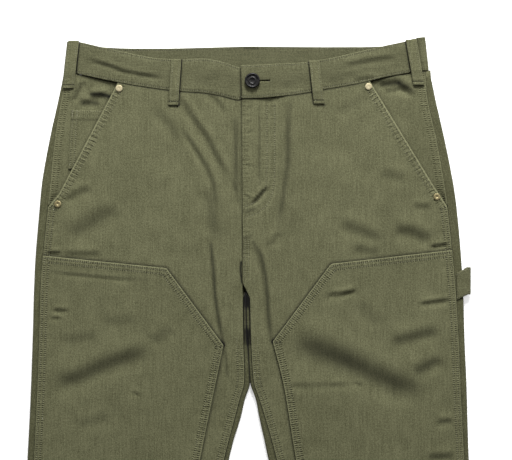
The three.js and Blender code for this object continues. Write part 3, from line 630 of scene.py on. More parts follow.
def facing_z(side, x, drop):
    """Height of a facing's outer side: level with the seam, sinking towards the slanted edge."""
    seam, slant = outseam_x(side, drop), slant_x(side, drop)
    share = np.abs(x - seam) / np.maximum(4, np.abs(slant - seam) - 2)
    plain = mix(SIDE_HEIGHT - 0.2, FACING_TOP, ease(0, 1, share))
    calm = ease(0, 10, np.abs(x - seam)) * ease(2, 14, np.abs(x - slant)) * np.where(share < 1, 1, 0)
    return plain + calm * fold_rise(FACING_FOLDS[side], x, drop)


def pocket_facing(side):
    rows, columns = 90, 64
    sign = SIGN[side]
    foot = SLANT[side]["end"] - 1.5
    share = np.linspace(0, 1, columns + 1)[None, :]
    down = np.linspace(0, 1, rows + 1)[:, None]
    visible = np.minimum(share / MOUTH_SHARE, 1)
    hidden = np.maximum(share - MOUTH_SHARE, 0) / (1 - MOUTH_SHARE)

    def place(drop):
        seam = outseam_x(side, drop) + sign * LAYER_GAP
        return mix(seam, slant_x(side, drop), visible) - sign * POCKET_LAP * hidden

    x = place(mix(46, foot, down))
    drop = mix(np.maximum(band_foot(side, x) + SEAM_GAP, 40), foot, down)
    x = place(drop)
    outer = at(x, drop, facing_z(side, x, drop))
    cut = np.stack([x, drop], axis=-1)
    # Painted shade: in the pocket's mouth, below the band, in the folds and along the mouth's lines.
    mouth = dark_at(x - slant_x(side, drop), *MOUTH_SHADE)
    top = dark_at(drop - band_foot(side, x), *FACING_SHADE)
    shade = mouth + top + 1.6 * fold_shade(FACING_FOLDS[side], x, drop)
    shade = shade + shade_lines(MOUTH_LINES[side], x, drop)
    seams = {
        "across": np.abs(x - outseam_x(side, drop)), "run": drop,
        "double": 1.0, "pull": 0.9, "pucker": 0.4,
    }
    name = f"pocket_facing_{side}_twill"
    piece = cloth_piece(name, outer, outer - [0, 0, SHELL], cut, seams, shade=shade)
    laid(piece, f"pocket_facing_{side}", outer)


for side in SIGN:
    pocket_facing(side)

# Coin pocket: a small patch on the right facing, with a hem along its top.
# Its outer side has a double row of stitches and its top corner a bar tack, and its inner side
# runs on under the slanted edge.
COIN_TOP, COIN_FOOT = 90, 164
COIN_OUTER = (-220.6, -225.0)
COIN_SHELL = 0.8
COIN_HEM = 12  # depth of the hem
COIN_LAP = 12  # how far it runs on under the front
ROWS, TACKS = [], []  # lists of points, for the rows and bar tacks of this and all later pieces


def sew(points, kept=ROWS):
    kept.append(np.asarray(points, float))


def turned_edge(distance, radius=1.3, depth=0.5):
    """How far a folded edge rounds down over its last millimetres."""
    return -depth * (1 - np.sqrt(np.clip(distance / radius, 0, 1)))


def coin_z(x, drop):
    return facing_z("right", x, drop) + 1.5 * LAYER_GAP + COIN_SHELL + 0.25


def coin_pocket():
    rows, columns = 60, 44
    drop = mix(COIN_TOP, COIN_FOOT, np.linspace(0, 1, rows + 1) ** 1.25)[:, None]
    outer_x = mix(*COIN_OUTER, (drop - COIN_TOP) / (COIN_FOOT - COIN_TOP))
    inner_x = slant_x("right", drop) + COIN_LAP
    x = mix(outer_x, inner_x, np.linspace(0, 1, columns + 1)[None, :] ** 1.3)
    top, side_edge = np.broadcast_arrays(drop - COIN_TOP, x - outer_x)
    hem = 0.3 * ease(COIN_HEM, COIN_HEM - 2, top) * ease(0, 3, top)
    z = coin_z(x, drop) + hem + turned_edge(top, 1.2, 0.3) + turned_edge(side_edge, 1.2, 0.3)
    outer = at(x, drop, z)
    seams = {
        "across": np.where(top < side_edge, top + 1.0, side_edge + 0.6),
        "run": np.where(top < side_edge, x - outer_x, top),
        "double": 1.0, "pull": 0.5, "pucker": 0.3,
    }
    cut = np.stack(np.broadcast_arrays(x, drop), axis=-1) + [7, 3]
    # Painted shade along the pocket's mouth and below the hem.
    mouth = dark_at(x - slant_x("right", drop), *MOUTH_SHADE)
    shade = dark_at(top - COIN_HEM - 0.5, 0.7, 1.2) + mouth
    inner = outer - [0, 0, COIN_SHELL]
    piece = cloth_piece("coin_pocket_twill", outer, inner, cut, seams, shade=shade)
    laid(piece, "coin_pocket", outer)


def coin_row(points):
    x, drop = np.array(points, float).T
    return at(x, drop, coin_z(x, drop) + 0.12)


coin_pocket()
for inset in (2.0, 7.5):
    start, end = COIN_OUTER[0] + 1, slant_x("right", COIN_TOP + inset)
    sew(coin_row([(x, COIN_TOP + inset) for x in np.linspace(start, end, 24)]))
for inset in (2.2, 6.6):
    t = np.linspace(0, 1, 24)
    side_row = mix(*COIN_OUTER, t) + inset, mix(COIN_TOP + 1, COIN_FOOT - 1, t)
    sew(coin_row(np.stack(side_row, axis=1)))
for x in (-219.5, -213.8):
    sew(coin_row([(x, drop) for drop in np.linspace(COIN_TOP + 1, COIN_TOP + 9, 4)]), TACKS)

# Fronts: the two upper panels, of olive twill, from the waistband to the hem.
# The left one laps over the right at the fly, which two curved rows of stitches hold.
# Their outer and inner edges are turned under and felled to the backs with two rows.
FLY_LAP = 12  # how far the right front runs on under the left one
FLY_LIFT = 1.8  # how far the left front rises over it
FLY_SLOPE = 22  # length over which it comes down again
FLY_TOP_DROP, FLY_END_DROP = 79, 248
CALM_SLANT, CALM_FLY = 16, 8  # how near the pocket's slanted edge and the fly the folds fade out
CALM_HEM = 1000  # drop from which they fade out towards the hem
CALM_SIDE = 0.04  # share of a front's width over which they fade in from the outseam
BAND_SHADE, FLY_SHADE = (2.2, 1.3), (1.8, 1.4)  # painted shade below the waistband and beside the fly
CROWN = 0.5  # how much higher a leg is along its middle
RUMPLE = 0.07
THREAD_LIFT = 0.1  # of a thread's middle over the bottom of its row
ROW_STEP = 6.0  # between a row's points, close enough to follow the folds
EDGE_STEPS = np.array([0, 0.5, 1, 1.7, 2.4, 3, 3.7, 4.6, 5.5, 6.5, 7.4, 8, 8.7, 9.6, 11, 13, 15.5])
FOLDS = {
    "right": [
        ([(-91, 64), (-70, 96), (-51, 123), (-37, 150), (-22, 178)], 5, -1.2),
        ([(-85, 107), (-68, 134), (-51, 161), (-42, 184), (-37, 218)], 4, -1.1),
        ([(-50, 68), (-37, 79), (-27, 93)], 4, -0.6), ([(-21, 173), (-14, 192), (-9, 214)], 3, -0.8),
        ([(-229, 246), (-162, 206)], 12, -1.3), ([(-232, 202), (-209, 190), (-194, 187)], 6, -0.9),
        ([(-14.4, 98), (-14.4, 190)], 4, -1.0), ([(-119, 86), (-95, 109), (-83, 132)], 7, -0.6),
        ([(-46.6, 246), (-43, 292), (-41, 323), (-36, 356), (-31, 381)], 4, -1.0),
        ([(-28.5, 386), (-25.5, 427)], 2.5, -0.9), ([(-47, 188), (-41, 250)], 9, -0.9),
        ([(-252, 268), (-232, 268)], 2.4, -1.2), ([(-234, 269), (-180, 269)], 5, -0.8),
        ([(-250, 434), (-207, 419), (-177, 405), (-118, 384)], 12, -1.8),
        ([(-124, 379), (-108, 370), (-92, 361)], 9, -0.8), ([(-245, 339), (-224, 340)], 3, -1.0),
        ([(-246, 349), (-234, 350)], 2.6, -0.9), ([(-235, 378), (-185, 369)], 8, -0.5),
        ([(-185, 352), (-135, 350)], 8, -0.4), ([(-216, 484), (-172, 469)], 8, -0.5),
        ([(-30, 396), (-45, 506)], 5, -0.7), ([(-126, 290), (-128, 371)], 2.4, -0.35),
        ([(-134, 446), (-136, 530)], 2.4, -0.35), ([(-143, 440), (-136, 447)], 2.4, -1.1),
        ([(-245, 293), (-139, 303)], 2.2, -0.6), ([(-150, 130), (-90, 175)], 18, 0.7),
        ([(-245, 620), (-150, 590)], 16, -0.9), ([(-130, 700), (-215, 668)], 14, -0.8),
        ([(-262, 860), (-180, 842)], 12, -0.7),
    ],
    "left": [
        ([(56, 74), (51, 102), (50, 160), (40, 228), (35, 259)], 6, -1.4),
        ([(14.4, 82), (14.4, 190)], 2.6, -0.8), ([(4, 208), (25, 184)], 3, -1.5),
        ([(5, 254), (15, 271), (20, 295), (24, 324), (25, 346), (27, 371), (30, 380)], 4.5, -1.3),
        ([(28, 260), (36, 242)], 5, -0.9), ([(205, 209), (230, 210)], 5, -0.7),
        ([(164, 166), (198, 175)], 8, -0.6), ([(112, 228), (150, 243), (172, 253)], 9, -1.1),
        ([(108, 94), (130, 82), (150, 68)], 6, -0.5),
        ([(180, 238), (205, 240), (232, 252)], 9, -1.5), ([(227, 260), (251, 257)], 2.6, -1.4),
        ([(131, 260), (167, 267)], 8, -1.0), ([(92, 320), (116, 319.5), (138, 314)], 3.2, -1.5),
        ([(48, 368), (80, 381), (105, 391), (130, 402), (158, 416), (190, 430), (228, 443)], 17, -2.3),
        ([(176, 379), (240, 363)], 9, -1.3), ([(204, 418), (242, 398)], 9, -1.3),
        ([(211, 332), (255, 326)], 3.6, -1.1), ([(46, 434), (134, 432)], 4, -0.6),
        ([(135, 429), (142, 435)], 2, -1.2), ([(143.5, 440), (143.5, 535)], 2.4, -0.4),
        ([(138, 328), (167, 359)], 10, -0.6), ([(235, 479), (257, 477)], 5, -0.9),
        ([(222, 523), (259, 521)], 6, -1.0), ([(90, 130), (150, 190)], 18, 0.7),
        ([(-4, 89), (5, 85)], 1.6, -0.6), ([(-4, 97), (4, 94)], 1.6, -0.6),
        ([(-4, 106), (6, 102)], 1.6, -0.6), ([(-3, 118), (8, 114)], 1.8, -0.6),
        ([(-4, 158), (10, 160)], 1.8, -0.5), ([(-4, 196), (6, 201)], 1.8, -0.6),
        ([(245, 640), (160, 610)], 16, -0.9), ([(150, 735), (230, 700)], 14, -0.7),
        ([(262, 880), (185, 856)], 12, -0.7),
    ],
}
CREASES = {  # painted shade in narrow lines where the cloth closes on itself
    "right": [
        ([(-46.3, 258), (-43, 292), (-41, 323), (-36, 356), (-31, 381)], 1.9, 1.3),
        ([(-28.2, 392), (-25.8, 422)], 1.8, 0.6), ([(-8.6, 280), (-9.4, 290), (-7.6, 306)], 1.4, 2.4),
        ([(-14.4, 104), (-14.4, 188)], 4, 0.6), ([(-252, 268), (-236, 268)], 1.2, 0.9),
        ([(-45, 190), (-41, 248)], 6, 0.3), ([(-222, 426), (-190, 412), (-148, 396)], 9, 0.12),
        ([(-246, 291.6), (-190, 296), (-127, 302)], 2.2, 0.5),
    ],
    "left": [
        ([(6, 255), (16.5, 270), (22.5, 298), (25, 324), (26, 346), (29, 377)], 1.9, 1.1),
        ([(53, 84), (51, 102), (50, 160), (42, 215)], 3, 0.5), ([(14.4, 84), (14.4, 186)], 1.3, 0.4),
        ([(230, 259.6), (250, 257.2)], 1.2, 0.8), ([(5, 207), (22, 187)], 1.5, 0.6),
        ([(-6, 216.5), (7.5, 215.5)], 1.5, 1.3), ([(-5, 249.5), (4, 248.5)], 1.5, 1.3),
        ([(75, 388), (120, 402)], 15, 0.38), ([(122, 404), (160, 420), (205, 438)], 9, 0.28),
        ([(182, 379), (232, 367)], 7, 0.2), ([(212, 414), (238, 401)], 6, 0.2),
    ],
}
SEAM_KINDS = {  # whether it has two rows, whether it is an edge, and its pull and pucker
    "outseam": (1, 1, 1.1, 0.4), "inseam": (1, 1, 0.9, 0.7), "slant": (1, 1, 0.5, 1.5),
    "knee": (1, 1, 1.6, 0.9), "edge": (0, 1, 0.3, 0.6), "row": (0, 0, 0.5, 0.4),
}
SLANT_SHIFT = 0.75  # how much farther from the pocket's slanted edge its rows lie
INSEAM_TOP = 376  # above it the inseams lie turned in under the legs
INSEAM_START = 26  # length over which an inseam's thread starts to pull
SEAM_RISE, ROW_SINK = 0.45, 0.3  # of the cloth turned in at a seam, and of a row of stitches in it
ROW_GROOVE = 1.1  # half width of the groove that a row makes
PUCKER, PUCKER_PITCH = 0.17, 7.3  # height and length of the waves between two rows
DRAW, DRAW_PITCH = 0.16, 12.9  # height and length of the waves that the thread draws up beside them
FLY_ROWS = [  # the curved rows of stitches at the fly
    [(33.4, 84), (33.4, 150), (33.2, 176), (30.5, 196), (23, 210), (12, 219), (-2, 224)],
    [(23.8, 84), (23.8, 150), (23.6, 172), (21.5, 188), (15, 200), (6, 207), (-3, 210)],
]
CROTCH_ROWS = [
    [(-3.2, FLY_END_DROP + 4), (-3.8, 280), (-3.4, 300)],
    [(0.8, FLY_END_DROP + 4), (0.4, 280), (0.6, 300)],
]


def fly_x(drop):
    """The left front's edge at the fly."""
    return mix(-7.3, -6.6, ease(FLY_TOP_DROP, FLY_END_DROP, drop))


def fly_lap(drop):
    """How far the right front runs on past that edge."""
    straight = mix(FLY_LAP, 4, ease(180, 221, drop))
    return mix(straight, -SEAM_GAP, ease(210, FLY_END_DROP - 16, drop))


def inner_x(side, drop):
    upper = fly_x(drop) + (fly_lap(drop) if side == "right" else 0)
    return np.where(drop >= CROTCH_DROP, inseam_x(side, drop), upper)


def rumple(x, drop):
    """The slight unevenness of cloth that was folded and laid out by hand."""
    waves = [(61, 143, 0.3), (-47, 96, 1.9), (88, -71, 4.1), (33, 210, 2.6), (-120, 55, 5.2)]
    total = sum(np.sin(2 * math.pi * (x / a + drop / b) + c) for a, b, c in waves)
    return RUMPLE * total


def front_z(side, x, drop):
    """Height of a front's outer side, without the relief of its seams."""
    outer = outseam_x(side, drop)
    inner = np.where(drop < CROTCH_DROP, fly_x(drop), inseam_x(side, drop))
    share = np.clip((x - outer) / (inner - outer), 0, 1)
    from_slant = np.abs(x - slant_x(side, drop))
    clear_slant = np.where(drop < SLANT[side]["end"], ease(0, CALM_SLANT, from_slant), 1)
    clear_fly = ease(fly_x(drop), fly_x(drop) - CALM_FLY, x) if side == "right" else 1
    calm = np.minimum(clear_slant, np.where(drop < FLY_END_DROP + 14, clear_fly, 1))
    calm = calm * ease(HEM_DROP, CALM_HEM, drop) * ease(0, CALM_SIDE, share)
    lift = 0
    if side == "left":
        reach = fly_x(drop) + np.maximum(0, fly_lap(drop)) + 2
        lift = FLY_LIFT * ease(reach + FLY_SLOPE, reach, x)
        lift = lift * ease(FLY_END_DROP + FLY_SLOPE, FLY_END_DROP, drop)
    rise = fold_rise(FOLDS[side], x, drop) + rumple(x, drop)
    return SIDE_HEIGHT + CROWN * np.sin(math.pi * share) + calm * rise + lift


def seam_places(x, drop, seams):
    """What the nearest seam is like at each point.

    A seam is a path, how far its first row lies from the usual place, and its kind.
    """
    shape = np.broadcast(x, drop).shape
    best = np.full(shape, np.inf)
    features = ("double", "edge", "pull", "pucker")
    found = {key: np.zeros(shape) for key in ("across", "run", *features)}
    found["across"] += FAR
    for path, shift, kind in seams:
        distance, hand, run, _ = near_path(path, x, drop)
        nearer = distance < best
        best = np.where(nearer, distance, best)
        across = ROW_1 + hand * distance if kind == "row" else distance - shift
        found["across"] = np.where(nearer, across, found["across"])
        found["run"] = np.where(nearer, run, found["run"])
        start = ease(0, INSEAM_START, run) if kind == "inseam" else 1
        for key, value in zip(features, SEAM_KINDS[kind]):
            here = value * start if key in ("pull", "pucker") else value
            found[key] = np.where(nearer, here, found[key])
    return found


def seam_relief(found):
    """Height that a seam adds: the turned-in band, the stitch rows and the puckers they draw up."""
    across, run, double, edge = (found[key] for key in ("across", "run", "double", "edge"))
    band = SEAM_RISE * edge * ease(11, 8.8, across) * mix(0.5, 1, double)
    grooves = bump_at(across, ROW_1, ROW_GROOVE) + double * bump_at(across, ROW_2, ROW_GROOVE)
    rows = -ROW_SINK * grooves
    drift = 1.7 * np.sin(run / 21) + 0.9 * np.sin(run / 8.3 + 2)
    pucker = PUCKER * np.sin(2 * math.pi * run / PUCKER_PITCH + drift) * bump_at(across, 5.4, 3.4)
    pull = DRAW * np.sin(2 * math.pi * run / DRAW_PITCH + 1.3 * drift) * bump_at(across, 12.5, 4.5)
    return band + rows + pucker + pull + edge * turned_edge(across)


def edge_path(x_of, start, end, step=12):
    """A path down an edge, whose x is a function of the drop."""
    drops = np.linspace(start, end, max(2, int((end - start) / step) + 1))
    return [(float(x_of(drop)), float(drop)) for drop in drops]


def front_seams(side):
    """A front's seams, each a path, a shift and a kind."""
    top, foot, end = SLANT[side]["top"], SLANT[side]["foot"], SLANT[side]["end"]
    corner = (float(outseam_x(side, end)), end)
    seams = [
        ([top, foot, corner], SLANT_SHIFT, "slant"),
        (edge_path(lambda d: outseam_x(side, d), end, HEM_DROP), 0, "outseam"),
        (edge_path(lambda d: inseam_x(side, d), INSEAM_TOP, HEM_DROP), 0, "inseam"),
    ]
    if side == "left":
        seams.append((edge_path(fly_x, FLY_TOP_DROP, CROTCH_DROP), -1.0, "edge"))
        seams.extend((path, 0, "row") for path in FLY_ROWS + CROTCH_ROWS)
    return seams


def spread(start, end, middle, steps=EDGE_STEPS):
    """Columns between two edges, close together near both."""
    way = np.sign(end - start)
    first, last = start + way * steps, end - way * steps[::-1]
    share = np.linspace(0, 1, middle + 2)[1:-1]
    return np.concatenate([first, mix(first[..., -1:], last[..., :1], share), last], axis=-1)


FRONT_COLUMNS = 104
FRONT_LEVEL = 100  # below this drop a front's rows are level
FRONT_TOP = np.array([0, 0.6, 1.3, 2.2, 3.4, 5, 7, 9.5, 12.5, 16, 20, 24.5, 29.5, 35]) / 38


def front_grid(side):
    """The places of a front's points. Its first rows follow the waistband, the others are level."""
    share = FRONT_TOP[:, None]

    def drop_at(x):
        return mix(band_foot(side, x) + SEAM_GAP, FRONT_LEVEL, share)

    drop_outer = drop_inner = np.full(share.shape, 80.0)
    for _ in range(12):
        start, end = slant_x(side, drop_outer), inner_x(side, drop_inner)
        drop_outer, drop_inner = drop_at(start), drop_at(end)
    x = spread(start, end, FRONT_COLUMNS)
    drop = drop_at(x)
    drops = np.concatenate([
        np.arange(FRONT_LEVEL, 546, 2.5), np.arange(550, HEM_DROP - 24, 6), HEM_DROP - EDGE_STEPS[::-1],
    ])[:, None]
    lower = spread(slant_x(side, drops), inner_x(side, drops), FRONT_COLUMNS)
    return np.concatenate([x, lower]), np.concatenate([drop, np.broadcast_to(drops, lower.shape)])


KNEE = {  # where the double front's top starts and bends, and the line of its inner edge
    "right": {
        "outer": 272, "corner": (-102, 287.6), "notch": (-30.5, 384),
        "edge": table(
            "drop x", (384, -30.5), (527, -60), (665, -86), (817, -107), (HEM_DROP, -132),
        ),
    },
    "left": {
        "outer": 265, "corner": (103.6, 282.3), "notch": (30.9, 379.5),
        "edge": table(
            "drop x", (379.5, 30.9), (434, 44.5), (527, 60), (665, 88), (817, 109), (HEM_DROP, 134),
        ),
    },
}
KNEE_END = 817  # drop of the double fronts' lower edge
BELT_LOOPS = {  # the middle of each end, as x and drop
    "front_right": {"top": (-89.4, 26.6), "foot": (-93.4, 84.4), "width": 12.4},
    "front_left": {"top": (82.5, 28.4), "foot": (88.8, 82.5), "width": 13},
    "side_right": {"top": (-217.6, 3.6), "foot": (-224.4, 63.3), "width": 13.6},
    "side_left": {"top": (203.6, 2.4), "foot": (213.4, 59.1), "width": 13.6},
}
HEM_SEAM = {
    side: [(float(x_of(side, HEM_DROP)), HEM_DROP) for x_of in (outseam_x, inseam_x)] for side in SIGN
}


def knee_edge_x(side, drop):
    return along(KNEE[side]["edge"], "drop", "x", drop)


def knee_outline(side):
    """Where a double front starts at the outseam, its inner edge, its outseam and its foot."""
    knee = KNEE[side]
    start = (float(outseam_x(side, knee["outer"])), knee["outer"])
    edge = edge_path(lambda d: knee_edge_x(side, d), knee["notch"][1], KNEE_END)
    seam = edge_path(lambda d: outseam_x(side, d), knee["outer"], KNEE_END)
    foot = [(float(outseam_x(side, KNEE_END)), KNEE_END), edge[-1]]
    return start, edge, seam, foot


def loop_lines(side):
    """Painted shade beside the belt loops, on the side towards the middle, and below them."""
    lines = []
    for name, loop in BELT_LOOPS.items():
        if name.endswith(side):
            (top_x, top), (foot_x, foot) = loop["top"], loop["foot"]
            half = loop["width"] / 2 + 0.4
            inward = -SIGN[side] * half
            lines.append(([(top_x + inward, top), (foot_x + inward, foot)], 1.1, 2.5))
            lines.append(([(foot_x - half, foot + 0.4), (foot_x + half, foot + 0.4)], 1.0, 2.2))
    return lines


def front_shade(side, x, drop):
    """Painted shade where pieces and folds keep the light off a front: creases, belt loops, the
    double front's edges, the waistband and the fly's edge.
    """
    start, edge, _, _ = knee_outline(side)
    corner, notch = KNEE[side]["corner"], KNEE[side]["notch"]
    lines = CREASES[side] + loop_lines(side) + [([start, corner, notch], 2.2, 2.0), (edge, 2.0, 1.6)]
    shade = shade_lines(lines, x, drop) + fold_shade(FOLDS[side], x, drop)
    shade += dark_at(drop - band_foot(side, x), *BAND_SHADE)
    if side == "right":
        lap = np.where(drop < FLY_END_DROP + 50, fly_x(drop), FAR)
        shade += dark_at(x - lap - 0.4, *FLY_SHADE)
    return shade


def front(side):
    x, drop = front_grid(side)
    found = seam_places(x, drop, front_seams(side) + [(HEM_SEAM[side], -4.0, "edge")])
    if side == "right":
        under_fly = ease(fly_x(drop) - 6, fly_x(drop) - 2, x) * ease(FLY_END_DROP + 4, FLY_END_DROP, drop)
    else:
        under_fly = 0
    z = front_z(side, x, drop) + seam_relief(found) * (1 - under_fly)
    outer = at(x, drop, z)
    cut = np.stack([x, drop], axis=-1) + [0, 11]
    name = f"front_{side}_twill"
    inner = outer - [0, 0, SHELL]
    piece = cloth_piece(name, outer, inner, cut, found, shade=front_shade(side, x, drop))
    laid(piece, f"front_{side}", outer)


def run_along(line):
    """How far along a line each of its points lies."""
    return np.concatenate([[0], np.cumsum(np.linalg.norm(np.diff(line, axis=0), axis=1))])


def resampled(path, step=ROW_STEP):
    """Points at even steps along a path."""
    path = np.array(path, float)
    lengths = run_along(path)
    where = np.linspace(0, lengths[-1], max(2, int(lengths[-1] / step)))
    return np.interp(where, lengths, path[:, 0]), np.interp(where, lengths, path[:, 1])


def front_row(side, path, step=ROW_STEP):
    """A row of stitches on a front."""
    x, drop = resampled(path, step)
    found = seam_places(x, drop, front_seams(side))
    return at(x, drop, front_z(side, x, drop) + seam_relief(found) + THREAD_LIFT)


for side in SIGN:
    front(side)
    sign = SIGN[side]
    for inset in (ROW_1 + SLANT_SHIFT, ROW_2 + SLANT_SHIFT):
        top, foot = np.array(SLANT[side]["top"]), np.array(SLANT[side]["foot"])
        way = (foot - top) / np.linalg.norm(foot - top)
        inward = np.array([-sign * abs(way[1]), abs(way[0])])
        sew(front_row(side, [top + inward * inset + way * 3, foot + inward * inset]))
    for inset in (ROW_1, ROW_2):
        outer_row = edge_path(
            lambda d: outseam_x(side, d) - sign * inset, SLANT[side]["end"], HEM_DROP, ROW_STEP,
        )
        inner_row = edge_path(
            lambda d: inseam_x(side, d) + sign * inset, INSEAM_TOP, HEM_DROP, ROW_STEP,
        )
        sew(front_row(side, outer_row))
        sew(front_row(side, inner_row))
for path in FLY_ROWS + CROTCH_ROWS:
    sew(front_row("left", path, 3))

# Double fronts: a second layer of twill on each leg, from mid thigh to below the knee.
# Its top runs level from the outseam, then slants down to the inseam side. All its edges are
# turned under and held by two rows of stitches.
KNEE_LIFT = SHELL + 0.65  # how far the double front's outer side stands over the front's
KNEE_LEVEL = 120  # depth below its upper edge from which a double front's rows are level
KNEE_COLUMNS = 58


def knee_top(side, x):
    """Drop of the double front's upper edge at x, and how steep it is there."""
    knee = KNEE[side]
    start = np.array([float(outseam_x(side, knee["outer"])), knee["outer"]])
    corner, notch = np.array(knee["corner"]), np.array(knee["notch"])
    flat = (corner[1] - start[1]) / (corner[0] - start[0])
    steep = (notch[1] - corner[1]) / (notch[0] - corner[0])
    past = (x - corner[0]) * SIGN[side]
    drop = corner[1] + np.where(past > 0, flat, steep) * (x - corner[0])
    return drop, mix(math.hypot(1, steep), math.hypot(1, flat), ease(-10, 22, past))


def knee_grid(side):
    """The places of a double front's points. Its first rows follow its upper edge."""
    total = KNEE_END - KNEE[side]["outer"]
    depth = np.concatenate([
        EDGE_STEPS, np.arange(18, 275, 2.4), np.arange(279, total - 20, 6), total - EDGE_STEPS[::-1],
    ])[:, None]
    start = np.full(depth.shape, float(outseam_x(side, KNEE[side]["outer"])))
    end = np.full(depth.shape, KNEE[side]["notch"][0], float)

    def drop_at(x):
        top, steep = knee_top(side, x)
        close = 1 - ease(0, KNEE_LEVEL, depth)
        return top + depth * steep * close + (KNEE_END - top) * (1 - close) * depth / total

    for _ in range(12):
        start = outseam_x(side, drop_at(start))
        end = knee_edge_x(side, drop_at(end))
    x = spread(start, end, KNEE_COLUMNS)
    return x, drop_at(x)


def knee_seams(side):
    start, edge, seam, foot = knee_outline(side)
    top = [start, KNEE[side]["corner"], KNEE[side]["notch"]]
    return [(top, 0.2, "knee"), (edge, 0.2, "knee"), (seam, 0, "outseam"), (foot, 0, "knee")]


def knee_z(side, x, drop, found):
    """Height of a double front's outer side, with the relief of its seams."""
    return front_z(side, x, drop) + KNEE_LIFT + 0.6 * seam_relief(found)


def double_front(side):
    x, drop = knee_grid(side)
    found = seam_places(x, drop, knee_seams(side))
    outer = at(x, drop, knee_z(side, x, drop, found))
    cut = np.stack([x, drop], axis=-1) + [23, 5]
    name = f"knee_{side}_twill"
    # Painted shade in its creases and folds.
    shade = shade_lines(CREASES[side], x, drop) + fold_shade(FOLDS[side], x, drop)
    piece = cloth_piece(name, outer, outer - [0, 0, SHELL], cut, found, shade=shade)
    laid(piece, f"knee_{side}", outer)


def knee_row(side, path):
    """A row of stitches on a double front."""
    x, drop = resampled(path)
    found = seam_places(x, drop, knee_seams(side))
    return at(x, drop, knee_z(side, x, drop, found) + THREAD_LIFT)


for side in SIGN:
    double_front(side)
    sign = SIGN[side]
    start, edge, seam, foot = knee_outline(side)
    corner, notch = np.array(KNEE[side]["corner"]), np.array(KNEE[side]["notch"])
    for inset in (ROW_1, ROW_2):
        # The rows beside the top, the slant and the inner edge meet at their corners.
        slant_way = (notch - corner) / np.linalg.norm(notch - corner)
        slant_in = np.array([sign * slant_way[1], abs(slant_way[0])])
        first = np.array([start[0], start[1] + inset])
        bend = corner + slant_in * inset * 0.9 + [0, inset * 0.35]
        turn = notch + slant_in * inset * 0.85
        inner = [(x + sign * inset, drop) for x, drop in edge if drop > notch[1] + 10]
        sew(knee_row(side, [first, bend, turn, *inner]))
        level = [(outseam_x(side, KNEE_END), KNEE_END - inset), (edge[-1][0] + sign * 2, KNEE_END - inset)]
        sew(knee_row(side, np.array(level, float)))
        sew(knee_row(side, [(x - sign * inset, drop) for x, drop in seam]))

# Waistband: a doubled strip of twill in three pieces, over the tops of the panels.
# It is stitched close to both edges. The left front end laps over the right and holds a keyhole
# buttonhole; the back piece shows its inner side above the dip of the front.
BAND = 2.1  # its two layers of twill
BAND_DEPTH = 40
BAND_RISE = 1.0  # how far it stands over the fronts
BAND_ROW = 2.2  # from its edges to the rows of stitches
BAND_LAP = (58, 26)  # the left end rises onto the right one between these two x
BAND_SINK, BAND_PUCKER = 0.22, 0.13  # depth of the rows' grooves and height of the puckers by them
BAND_STEPS = np.array([0, 0.5, 1, 1.6, 2.2, 2.8, 3.6, 4.8, 6.5, 9]) / BAND_DEPTH
BACK_STEPS = np.array([0, 0.5, 1, 1.6, 2.2, 2.8, 3.6, 5, 8]) / BAND_DEPTH
BACK_BAND = 1.9  # thickness of the back piece
BACK_MIDDLE = 3.5  # x of the belt loop under it
BAND_CREASES = {
    "right": [
        ([(-204, 25), (-170, 35), (-155, 41), (-102, 50)], 3, -0.9),
        ([(-150, 55), (-130, 45)], 5, -0.3),
        ([(-60, 60), (-40, 40)], 7, -0.3),
    ],
    "left": [
        ([(116, 34), (140, 29.5), (166, 25), (188, 23.5)], 4, -0.7), ([(130, 52), (160, 47)], 3, -0.5),
        ([(95, 55), (140, 42)], 7, -0.3),
        ([(40, 62), (70, 44)], 8, -0.3),
    ],
}
BUTTON_PLACE = (5.5, 53.9)
BUTTON_SHANK = 2.6  # its radius
SLIT_END = 27.4  # x where the buttonhole ends


def band_z(side, x, share):
    """Height of a front band's outer side; the left end lies on the right one."""
    lap = (BAND + LAYER_GAP + 0.4) * ease(*BAND_LAP, x) if side == "left" else 0
    return SIDE_HEIGHT + BAND_RISE + 0.35 * np.sin(2 * math.pi * share) + lap


def band_shares(steps, middle):
    """Shares of a band's depth, close together near both edges."""
    return np.concatenate([steps, np.linspace(0.27, 0.73, middle), 1 - steps[::-1]])[:, None]


def band_relief(top, foot, run):
    """The relief of a band's two stitched edges, from the distance to each and the run along them."""
    drift = 1.4 * np.sin(run / 19) + np.sin(run / 7.1)
    rows = -BAND_SINK * (bump_at(top, BAND_ROW, 0.9) + bump_at(foot, BAND_ROW, 0.9))
    waves = BAND_PUCKER * np.sin(2 * math.pi * run / 6.9 + drift)
    pucker = waves * (bump_at(foot, 4, 3.2) + 0.5 * bump_at(top, 4, 2.6))
    return rows + pucker + turned_edge(top, 1.3, 0.6) + turned_edge(foot, 1.3, 0.6)


def front_band(side):
    """A front band's outer side, its place in the cut, and what its seams are like."""
    curve = BAND_EDGES[side]
    x = np.linspace(curve["x"][0], curve["x"][-1], 210)[None, :]
    share = band_shares(BAND_STEPS, 9)
    top, foot = along(curve, "x", "top", x), along(curve, "x", "foot", x)
    drop = mix(top, foot, share)
    x = np.broadcast_to(x, drop.shape)
    from_top, from_foot = drop - top, foot - drop
    end = np.minimum(x - curve["x"][0], curve["x"][-1] - x)
    z = band_z(side, x, share) + band_relief(from_top, from_foot, x)
    z = z + fold_rise(BAND_CREASES[side], x, drop) + turned_edge(end, 1.2, 0.5)
    lean = mix(-0.4, 1.2, share) * ease(20, curve["x"][0], x) if side == "left" else 0
    outer = at(x + lean, drop, z)
    near_top = from_top < from_foot
    found = {
        "across": np.where(near_top, from_top, from_foot) + 0.8,
        "run": x - curve["x"][0],
        "pull": 0.6, "pucker": 0.45,
    }
    cut = np.stack([drop + 300, x], axis=-1)
    return outer, cut, found


